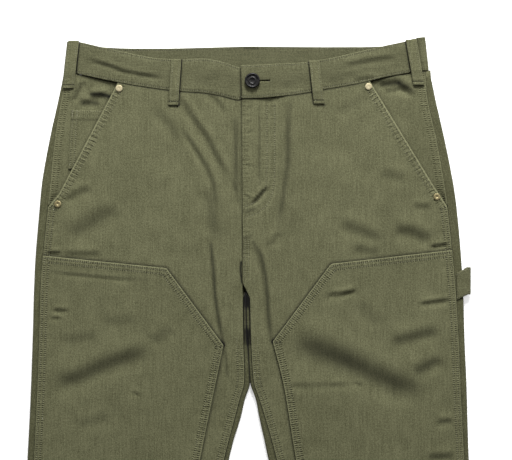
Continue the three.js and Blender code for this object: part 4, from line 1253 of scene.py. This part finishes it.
def keyhole():
    """A prism of the buttonhole's shape: a round eye for the shank and a slit beside it."""
    eye, half = BUTTON_SHANK + 0.7, 0.7
    turn = math.asin(half / eye)
    angles = np.linspace(turn, 2 * math.pi - turn, 22)
    outline = [(eye * math.cos(a), eye * math.sin(a)) for a in angles]
    outline += [(SLIT_END - BUTTON_PLACE[0], -half), (SLIT_END - BUTTON_PLACE[0], half)]
    x, y = BUTTON_PLACE[0], WAIST_Y - BUTTON_PLACE[1]
    points = [((x + a) * MM, (y + b) * MM, z * MM) for z in (1, 16) for a, b in outline]
    count = len(outline)
    sides = [(i, (i + 1) % count, count + (i + 1) % count, count + i) for i in range(count)]
    faces = [tuple(range(count))[::-1], tuple(range(count, 2 * count)), *sides]
    mesh = bpy.data.meshes.new("buttonhole_cut")
    mesh.from_pydata(points, [], faces)
    return in_scene("buttonhole_cut", mesh)


def settled(piece):
    """Makes what the piece's modifiers give its own plain mesh."""
    evaluated = piece.evaluated_get(bpy.context.evaluated_depsgraph_get())
    mesh = bpy.data.meshes.new_from_object(evaluated)
    piece.modifiers.clear()
    piece.data = mesh


def cut_buttonhole(piece):
    cutter = keyhole()
    hole = piece.modifiers.new("buttonhole", "BOOLEAN")
    hole.operation = "DIFFERENCE"
    hole.solver = "EXACT"
    hole.object = cutter
    settled(piece)
    bpy.data.objects.remove(cutter)


def back_band():
    """The back band: a line across the garment that lies on the surface and turns up at both sides."""
    height = SIDE_HEIGHT + BAND_RISE
    turn = height / 2
    right, left = -228.5, 224.5
    floor_x = np.concatenate([
        np.linspace(-214, -24, 44), np.linspace(-20, 28, 29), np.linspace(33, 208, 40),
    ])
    channel = 1.5 * ease(16, 9.2, np.abs(floor_x - BACK_MIDDLE))  # room for the belt loop below
    line = np.concatenate([
        [(-214.4, height)], quarter(right + turn, turn, -turn, turn, 1, 0),
        quarter(right + turn, turn, -turn, turn, 0, -1)[1:], np.stack([floor_x, channel], axis=1),
        quarter(left - turn, turn, turn, turn, -1, 0), quarter(left - turn, turn, turn, turn, 0, 1)[1:],
        [(212.4, height)],
    ])
    way = np.gradient(line, axis=0)
    way /= np.linalg.norm(way, axis=1)[:, None]
    inward = np.stack([-way[:, 1], way[:, 0]], axis=1)
    inside = line + BACK_BAND * inward
    share = band_shares(BACK_STEPS, 6)
    top = along(BAND_BACK, "x", "top", line[:, 0])[None, :]
    foot = along(BAND_BACK, "x", "foot", line[:, 0])[None, :]
    drop = mix(top, foot, share)
    lengths = run_along(line)[None, :]
    relief = band_relief(drop - top, foot - drop, lengths) * ease(20, 28, np.abs(line[:, 0] - BACK_MIDDLE))
    move = inward[None, :, :] * (relief * 0.5)[..., None]
    ends = np.sign(line[:, 0]) * ease(196, 220, np.abs(line[:, 0]))
    lean = 0.11 * (drop - 22) * ends
    outer = at(line[None, :, 0] + lean, drop, np.maximum(line[None, :, 1], 0))
    inner = at(inside[None, :, 0] + move[..., 0] + lean, drop, inside[None, :, 1] + move[..., 1])
    found = {
        "across": np.minimum(drop - top, foot - drop) + 0.8,
        "run": np.broadcast_to(lengths, drop.shape),
        "pull": 0.3, "pucker": 0.4,
    }
    cut = np.stack([drop + 340, np.broadcast_to(lengths, drop.shape)], axis=-1)
    tack = shade_lines([([(-5, 12.3), (12.5, 12.5)], 1.0, 1.6)], inner[..., 0], drop)
    sides = outer, inner, cut, found
    # Painted shade: a little on the outer side and more on the inner side that shows, with a dark line
    # across it at the back loop.
    piece = cloth_piece("waistband_back_twill", *sides, shade=0.25, under=0.55 + tack, both=True)
    laid(piece, "waistband_back", outer)
    show = slice(8, -8)  # without the turns at both ends
    sew(at(inside[show, 0], top[0, show] + BAND_ROW, inside[show, 1] + 0.05))


for side in SIGN:
    outer, cut, found = front_band(side)
    x, drop = outer[..., 0], WAIST_Y - outer[..., 1]
    # Painted shade beside the belt loops and in the creases, a little all over, along the row above the
    # foot, and a painted shadow where the left band's end lies over the right one.
    shade = shade_lines(loop_lines(side), x, drop) + 1.3 * fold_shade(BAND_CREASES[side], x, drop)
    from_foot = along(BAND_EDGES[side], "x", "foot", x) - drop
    shade = shade + 0.3 + 0.5 * bump_at(from_foot, 2.6, 0.6)
    if side == "right":
        shade = shade + dark_at(x + 8.8, 1.6, 1.5)
    inner = outer - [0, 0, BAND]
    piece = cloth_piece(f"waistband_{side}_twill", outer, inner, cut, found, shade=shade)
    if side == "left":
        cut_buttonhole(piece)
    rests_on = ["front_right_twill"] if side == "right" else ["waistband_right_twill", "front_left_twill"]
    laid(piece, f"waistband_{side}", outer)
    curve = BAND_EDGES[side]
    for key, inset in (("top", BAND_ROW), ("foot", -BAND_ROW)):
        x = np.linspace(curve["x"][0] + 1, curve["x"][-1] - 1.2, 90)
        if side == "right":
            x = x[x < -9]
        drop = along(curve, "x", key, x) + inset
        share = (drop - along(curve, "x", "top", x)) / BAND_DEPTH
        sew(at(x, drop, band_z(side, x, share) - 0.1 + fold_rise(BAND_CREASES[side], x, drop)))
back_band()

# Belt loops: five straps of folded twill over the waistband.
# Each is caught above the band and below it, with a bar tack across each end that shows only as
# a groove, without thread; the one at the middle of the back lies under the band.
LOOP = 1.4  # thickness of a folded strap
LOOP_TOP = [0, 0.01, 0.022, 0.04, 0.06]
LOOP_FOOT = [0.9, 0.908, 0.916, 0.924, 0.932, 0.94, 0.952, 0.966, 0.98, 0.99, 1]
LOOP_SIDE = [0.13, 0.26, 0.36, 0.43, 0.47, 0.5]
LOOP_ROW = 2.4  # from a loop's sides to its rows of stitches
LOOP_STAND, LOOP_BOW = 0.7, 0.5  # how far a loop stands off what it lies on, and its bow


def loop_middle(side, loop, t):
    """The middle line of a belt loop, at shares of its length: it steps down from band to front."""
    (top_x, top_drop), (foot_x, foot_drop) = loop["top"], loop["foot"]
    x, drop = mix(top_x, foot_x, t), mix(top_drop, foot_drop, t)
    foot = band_foot(side, x)
    on_band = SIDE_HEIGHT + BAND_RISE + LOOP_STAND
    on_panel = SIDE_HEIGHT + CROWN + LOOP_STAND
    z = mix(on_band, on_panel, ease(foot + 0.5, foot + 6, drop))
    return x, drop, z + LOOP_BOW * np.sin(math.pi * t) + LOOP


def belt_loop(name, loop):
    side = "right" if name.endswith("right") else "left"
    t = np.concatenate([LOOP_TOP, np.linspace(0.09, 0.89, 30), LOOP_FOOT])[:, None]
    over = np.array([-share for share in LOOP_SIDE[::-1]] + [0] + LOOP_SIDE)[None, :]
    x, drop, z = loop_middle(side, loop, t)
    x = x + over * loop["width"]
    from_side = (0.5 - np.abs(over)) * loop["width"]
    length = loop["foot"][1] - loop["top"][1]
    from_end = np.minimum(t, 1 - t) * length
    waves = 0.12 * np.sin(t * 21 + over * 4)
    z = z + turned_edge(from_side, 1.3, 0.55) + turned_edge(from_end, 1.0, 0.4) + waves
    z = z - 0.2 * bump_at(from_side, 2.6, 0.9) - 0.35 * bump_at(from_end, 4.5, 1.2)
    outer = at(x, np.broadcast_to(drop, x.shape), z)
    found = {
        "across": np.broadcast_to(from_side + 0.5, z.shape),
        "run": np.broadcast_to(t * length, z.shape),
        "pull": 0.15, "pucker": 0.3,
    }
    cut = np.stack([x + 60, np.broadcast_to(drop, x.shape)], axis=-1)
    from_foot = (1 - t) * length
    # Painted shade in the bar tack's groove near the foot and along the foot's edge.
    shade = 2.4 * bump_at(from_foot, 4.6, 0.6) + 1.0 * bump_at(from_foot, 0, 0.6)
    inner = outer - [0, 0, LOOP - 0.2]
    piece = cloth_piece(f"belt_loop_{name}_twill", outer, inner, cut, found, shade=shade)
    laid(piece, f"belt_loop_{name}", outer)
    x, drop, z = loop_middle(side, loop, np.linspace(0.08, 0.92, 20))
    for edge in (-1, 1):
        sew(at(x + edge * (loop["width"] / 2 - LOOP_ROW), drop, z - 0.08))


for name, loop in BELT_LOOPS.items():
    belt_loop(name, loop)

BACK_LOOP = 1.2  # thickness of the one at the back
back_x = BACK_MIDDLE + np.linspace(-7.5, 7.5, 13)[None, :]
back_drop = np.linspace(10.6, 52, 20)[:, None]
back_outer = at(back_x, back_drop, BACK_LOOP)
back_cut = np.stack(np.broadcast_arrays(back_x, back_drop), axis=-1) + [70, 0]
back_loop = cloth_piece("belt_loop_back_twill", back_outer, back_outer - [0, 0, BACK_LOOP], back_cut)
laid(back_loop, "belt_loop_back", back_outer)

# Hammer loop: a short strap of doubled twill caught in the left outseam.
# It comes out of the seam, bows away from the leg and turns back under it.
HAMMER_TOP, HAMMER_FOOT = 288, 323
HAMMER_WIDTH = HAMMER_FOOT - HAMMER_TOP
HAMMER_RUN = 30  # length along the strap, for its weave
HAMMER = 1.4  # thickness of the strap
HAMMER_LINE = [
    (261, 8.2), (266, 8.3), (272, 8.5), (276.8, 7.5), (278.8, 4.7), (277.4, 1.7), (274.6, 0.1), (271, 0),
]
HAMMER_LEAN = {"upper": (5.5, -1.5), "lower": (4, -2.5)}  # added drop, at the seam and at the bow
HAMMER_SIDE = [0, 0.02, 0.045, 0.08, 0.13, 0.2, 0.35]


def rounded(points, steps):
    """A smooth curve through points, with so many steps between each two."""
    points = np.array(points, float)
    ends = np.concatenate([2 * points[:1] - points[1:2], points, 2 * points[-1:] - points[-2:-1]])
    t = np.linspace(0, 1, steps, endpoint=False)[:, None]
    made = []
    for a, b, c, d in zip(ends[:-3], ends[1:-2], ends[2:-1], ends[3:]):
        square, cube = 2 * a - 5 * b + 4 * c - d, 3 * b - a - 3 * c + d
        made.append(0.5 * (2 * b + (c - a) * t + square * t**2 + cube * t**3))
    return np.concatenate([*made, points[-1:]])


def hammer_drop(lean, t):
    """Drop of the strap at a share of its width: it leans upwards as it leaves the seam."""
    upper, lower = (mix(*HAMMER_LEAN[edge], lean) for edge in ("upper", "lower"))
    return mix(HAMMER_TOP, HAMMER_FOOT, t) + upper * (1 - t) + lower * t


line = rounded(HAMMER_LINE, 6)
line[:, 1] = np.maximum(line[:, 1], 0)
way = np.gradient(line, axis=0)
way /= np.linalg.norm(way, axis=1)[:, None]
under = line + HAMMER * np.stack([way[:, 1], -way[:, 0]], axis=1)
t = np.array(HAMMER_SIDE + [0.5] + [1 - share for share in HAMMER_SIDE[::-1]])[:, None]
lean = np.clip((line[None, :, 0] - HAMMER_LINE[0][0]) / 14, 0, 1)
drop = hammer_drop(lean, t)
run = np.broadcast_to(np.linspace(0, HAMMER_RUN, len(line))[None, :], drop.shape)
from_side = np.minimum(t, 1 - t) * HAMMER_WIDTH
pull_in = turned_edge(from_side, 1.3, 0.45)
outer = at(line[None, :, 0], drop, np.maximum(line[None, :, 1] + pull_in * (line[None, :, 1] > 4), 0))
inner = at(under[None, :, 0], drop, under[None, :, 1])
found = {
    "across": np.broadcast_to(from_side + 0.5, drop.shape),
    "run": run,
    "pull": 0.2, "pucker": 0.3,
}
cut = np.stack([drop, run], axis=-1)
hammer = cloth_piece("hammer_loop_twill", outer, inner, cut, found, shade=0.35)
laid(hammer, "hammer_loop", outer)
strap = line[:22]  # the part that faces up
for row_t in (0.07, 0.93):
    sew(at(strap[:, 0], hammer_drop(lean[0, :22], row_t), strap[:, 1] + 0.05))

# Button: a turned shank button of dark gunmetal at the waistband's end.
# Its face has a raised rim, a sunk ring and a raised middle; its shank goes through the buttonhole.
BUTTON_RADIUS, BUTTON_HEIGHT, BUTTON_SIDES = 9.6, 3.4, 72


def metal_finish(name, colour, worn, rough):
    """Plated metal, with brighter patches where it is rubbed."""
    material, tree, shader = finish(name, Metallic=1.0)
    place = Wire.node(tree, "ShaderNodeTexCoord", output="Object")
    fine = place.noise(2600, 3, 0.6)
    broad = place.noise(420, 2)
    feed(tree, shader, Base_Color=(broad * 0.6 + fine * 0.4).smooth(0.35, 0.7).blend(colour, worn))
    bump = Wire.node(tree, "ShaderNodeBump", {}, {"Distance": 0.00002, "Strength": 0.6, "Height": fine})
    feed(tree, shader, Roughness=rough + fine * 0.18, Normal=bump)
    return material


def turned(name, profile, place, sides, material):
    """A piece turned round its own axis, from radius and height pairs that start and end on it."""
    angles = np.arange(sides) * 2 * math.pi / sides
    rings = [np.array([[r * math.cos(a), r * math.sin(a), h] for a in angles]) for r, h in profile[1:-1]]
    points = [[0, 0, profile[0][1]], *np.concatenate(rings).tolist(), [0, 0, profile[-1][1]]]
    last = len(points) - 1
    faces = [(0, 1 + (i + 1) % sides, 1 + i) for i in range(sides)]
    for ring in range(len(rings) - 1):
        base = 1 + ring * sides
        for i in range(sides):
            j = (i + 1) % sides
            faces.append((base + i, base + j, base + sides + j, base + sides + i))
    base = last - sides
    faces += [(last, base + i, base + (i + 1) % sides) for i in range(sides)]
    points = (np.array(points) + place) * MM
    mesh = bpy.data.meshes.new(name)
    mesh.from_pydata(points.tolist(), [], faces)
    mesh.shade_smooth()
    mesh.materials.append(material)
    return in_scene(name, mesh)


GUNMETAL = metal_finish("gunmetal", (0.018, 0.018, 0.018, 1), (0.045, 0.044, 0.043, 1), 0.4)
r, h = BUTTON_RADIUS, BUTTON_HEIGHT
seat = SIDE_HEIGHT + BAND_RISE + BAND + LAYER_GAP + 1.2  # height of the face's underside
low = -(BAND + LAYER_GAP + 0.5)  # foot of the shank, from there
button_profile = [
    (0, low), (BUTTON_SHANK, low), (BUTTON_SHANK, -0.1), (BUTTON_SHANK + 0.3, 0), (r - 1.2, 0),
    (r - 0.5, 0.25), (r - 0.1, 0.9), (r, 1.6), (r - 0.2, 2.4), (r - 0.7, h - 0.3),
    (r - 1.2, h - 0.03), (r - 1.5, h), (r - 1.9, h - 0.08),
    (r - 2.4, h - 0.4), (r - 2.8, h - 0.9), (r - 3.1, h - 1.15), (r - 3.5, h - 1.2),
    (r - 4.6, h - 1.2), (r - 4.9, h - 1.1), (r - 5.2, h - 0.9), (r - 5.6, h - 0.8), (r - 6, h - 0.9),
    (r - 6.3, h - 1.2), (r - 6.7, h - 1.45), (r - 7.6, h - 1.6), (0, h - 1.65),
]
button_at = [BUTTON_PLACE[0], WAIST_Y - BUTTON_PLACE[1], seat]
button = turned("button_gunmetal", button_profile, button_at, BUTTON_SIDES, GUNMETAL)
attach(button, "root")
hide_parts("button")

# Rivets: pale brass caps at both ends of each slanted pocket edge.
# Each is a low turned disc with a dimple in the middle, set through the front and its facing.
RIVETS = {
    "right_top": (-161, 63), "right_foot": (-237.6, 207.5),
    "left_top": (150.6, 60.8), "left_foot": (236.1, 198.5),
}
RIVET_RADIUS, RIVET_HEIGHT, RIVET_SIDES = 4.3, 1.3, 40
BRASS = metal_finish("pale_brass", (0.44, 0.39, 0.25, 1), (0.60, 0.54, 0.37, 1), 0.58)
AGED_BRASS = metal_finish("aged_brass", (0.24, 0.20, 0.10, 1), (0.40, 0.35, 0.20, 1), 0.5)
DIMPLE = {"top": (0.7, 0.15), "foot": (1.5, 0.6)}  # its radius and depth
for name, (x, drop) in RIVETS.items():
    side, end = name.split("_")
    seat = float(front_z(side, np.array(float(x)), np.array(float(drop)))) + LAYER_GAP + 0.1
    r, h = RIVET_RADIUS, RIVET_HEIGHT
    dimple, depth = DIMPLE[end]
    profile = [
        (0, 0), (r - 0.1, 0), (r, 0.15), (r, 0.7), (r - 0.12, 1.0), (r - 0.4, 1.2), (r - 0.8, h),
        (dimple + 0.25, h), (dimple, h - 0.15 * depth), (dimple * 0.7, h - 0.8 * depth),
        (dimple * 0.35, h - depth), (0, h - depth),
    ]
    brass = BRASS if end == "top" else AGED_BRASS
    rivet = turned(f"rivet_{name}_brass", profile, [x, WAIST_Y - drop, seat], RIVET_SIDES, brass)
    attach(rivet, "root")
    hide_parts(f"rivet_{name}")

# Sewing: olive cotton thread in the rows and bar tacks gathered from the pieces above.
# Each stitch is a short round length of thread that dips into the cloth at both ends; in a bar
# tack the threads lie close together, square to the tack's own line.


def thread_finish():
    material, tree, shader = finish("olive_thread", Roughness=0.7, Sheen_Weight=0.1)
    place = Wire.node(tree, "ShaderNodeTexCoord", output="Object")
    tone = place.noise(260, 2).smooth(0.3, 0.75)
    feed(tree, shader, Base_Color=tone.blend((0.085, 0.083, 0.042, 1), (0.21, 0.208, 0.13, 1)))
    return material


def stitch_tree():
    """Threads set along paths: their length, thickness, pitch and turn are the tree's inputs."""
    tree = bpy.data.node_groups.new("stitches", "GeometryNodeTree")
    face = tree.interface
    face.new_socket("Geometry", in_out="INPUT", socket_type="NodeSocketGeometry")
    sizes = ("Pitch", "Thread length", "Thread width", "Turn")
    for name in sizes:
        face.new_socket(name, in_out="INPUT", socket_type="NodeSocketFloat")
    face.new_socket("Finish", in_out="INPUT", socket_type="NodeSocketMaterial")
    face.new_socket("Geometry", in_out="OUTPUT", socket_type="NodeSocketGeometry")
    start = Wire.node(tree, "NodeGroupInput")
    given = {name: start.beside(name) for name in ("Geometry", *sizes, "Finish")}
    path = Wire.node(tree, "GeometryNodeMeshToCurve", {}, {"Mesh": given["Geometry"]})
    spots = Wire.node(tree, "GeometryNodeCurveToPoints", {"mode": "LENGTH"},
                      {"Curve": path, "Length": given["Pitch"]}, output="Points")
    lie = Wire.node(tree, "FunctionNodeAlignRotationToVector", {"axis": "X"},
                    {"Vector": spots.beside("Tangent")})
    spin = Wire.node(tree, "ShaderNodeCombineXYZ", {}, {"Z": given["Turn"]})
    spin = Wire.node(tree, "FunctionNodeEulerToRotation", {}, {"Euler": spin})
    turn = Wire.node(tree, "FunctionNodeRotateRotation", {"rotation_space": "LOCAL"},
                     {"Rotation": lie, "Rotate By": spin})
    thread = Wire.node(tree, "GeometryNodeMeshUVSphere", {}, {"Segments": 5, "Rings": 4, "Radius": 0.5})
    long, wide = given["Thread length"], given["Thread width"]
    size = Wire.node(tree, "ShaderNodeCombineXYZ", {}, {"X": long, "Y": wide, "Z": wide})
    threads = Wire.node(
        tree, "GeometryNodeInstanceOnPoints", {},
        {"Points": spots, "Instance": thread, "Rotation": turn, "Scale": size},
    )
    real = Wire.node(tree, "GeometryNodeRealizeInstances", {}, {"Geometry": threads})
    soft = Wire.node(tree, "GeometryNodeSetShadeSmooth", {}, {"Geometry": real})
    coloured = Wire.node(tree, "GeometryNodeSetMaterial", {},
                         {"Geometry": soft, "Material": given["Finish"]})
    end = tree.nodes.new("NodeGroupOutput")
    tree.links.new(coloured.socket, end.inputs["Geometry"])
    return tree


STITCHES = stitch_tree()
COTTON = thread_finish()


def sewn(name, rows, **sizes):
    """Turns rows of points into thread, as one plain mesh."""
    points = np.concatenate(rows) * MM
    starts = np.cumsum([0] + [len(row) for row in rows])
    edges = [(i, i + 1) for a, b in zip(starts[:-1], starts[1:]) for i in range(a, b - 1)]
    mesh = bpy.data.meshes.new(name)
    mesh.from_pydata(points.tolist(), edges, [])
    piece = in_scene(name, mesh)
    maker = piece.modifiers.new("stitches", "NODES")
    maker.node_group = STITCHES
    inputs = {
        item.name: item.identifier for item in STITCHES.interface.items_tree if item.in_out == "INPUT"
    }
    for key, value in sizes.items():
        maker[inputs[key.replace("_", " ")]] = value
    maker[inputs["Finish"]] = COTTON
    settled(piece)
    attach(piece, "root")


ROW_THREAD = {"Pitch": STITCH * MM, "Thread_length": 2.3 * MM, "Thread_width": 0.55 * MM, "Turn": 0.0}
TACK_THREAD = {
    "Pitch": 0.62 * MM, "Thread_length": 1.9 * MM, "Thread_width": 0.6 * MM, "Turn": math.pi / 2,
}
sewn("sewing_rows", ROWS, **ROW_THREAD)
sewn("sewing_tacks", TACKS, **TACK_THREAD)

# Floor, light and camera: a plain white surface, a strong lamp beyond the waist, two weaker ones
# at the sides and an even surround. The camera looks straight down on the upper part of the pants.
FLOOR_LOW = -0.4
FLOOR_REACH = 6.0  # metres from its middle to its sides
FLOOR_GLOW = 0.45
LIGHT_AIM = np.array([0, 0.2, 0])  # in metres
LAMPS = {  # each one's place and side in metres, and its power
    "light_waist": ((0.25, 2.4, 1.25), 0.8, 112),
    "light_left": ((-2.6, 1.3, 1.7), 1.2, 32),
    "light_right": ((2.6, 1.3, 1.7), 1.2, 32),
}
SURROUND = 0.17


def white_floor():
    material, tree, shader = finish("white_surface", Roughness=0.9)
    place = Wire.node(tree, "ShaderNodeTexCoord", output="Object")
    tone = place.noise(3, 2).smooth(0.2, 0.8)
    feed(tree, shader, Base_Color=tone.blend((0.86, 0.86, 0.86, 1), (0.88, 0.88, 0.88, 1)))
    shader.inputs["Emission Color"].default_value = (1, 1, 1, 1)
    shader.inputs["Emission Strength"].default_value = FLOOR_GLOW
    return material


corners = [(x * FLOOR_REACH, y * FLOOR_REACH) for x, y in ((-1, -1), (1, -1), (1, 1), (-1, 1))]
floor_mesh = bpy.data.meshes.new("floor")
floor_mesh.from_pydata([(x, y, FLOOR_LOW * MM) for x, y in corners], [], [(0, 1, 2, 3)])
floor_mesh.materials.append(white_floor())
floor = in_scene("floor", floor_mesh)


def soft_light(name, place, size, power):
    """A square lamp at a place in metres, turned towards the upper part of the pants."""
    lamp = bpy.data.lights.new(name, "AREA")
    lamp.shape = "SQUARE"
    lamp.size = size
    lamp.energy = power
    light = in_scene(name, lamp)
    light.location = place
    away = np.array(place) - LIGHT_AIM
    light.rotation_euler = (
        math.atan2(math.hypot(away[0], away[1]), away[2]), 0, math.atan2(away[0], -away[1]),
    )


for name, lamp in LAMPS.items():
    soft_light(name, *lamp)
world = bpy.data.worlds.new("surround")
world.use_nodes = True
background = world.node_tree.nodes["Background"]
background.inputs["Color"].default_value = (1, 1, 1, 1)
background.inputs["Strength"].default_value = SURROUND
bpy.context.scene.world = world
bpy.context.scene.view_settings.view_transform = "Standard"

VIEW_WIDTH = 0.640  # metres across the picture, at the height of the cloth
VIEW_X, VIEW_DROP = 10, 240  # the middle of the picture
LENS, SENSOR = 85, 36
camera_data = bpy.data.cameras.new("camera")
camera_data.lens = LENS
camera_data.sensor_width = SENSOR
camera = in_scene("camera", camera_data)
camera.location = (
    VIEW_X * MM, (WAIST_Y - VIEW_DROP) * MM, VIEW_WIDTH * LENS / SENSOR + SIDE_HEIGHT * MM,
)
bpy.context.scene.camera = camera
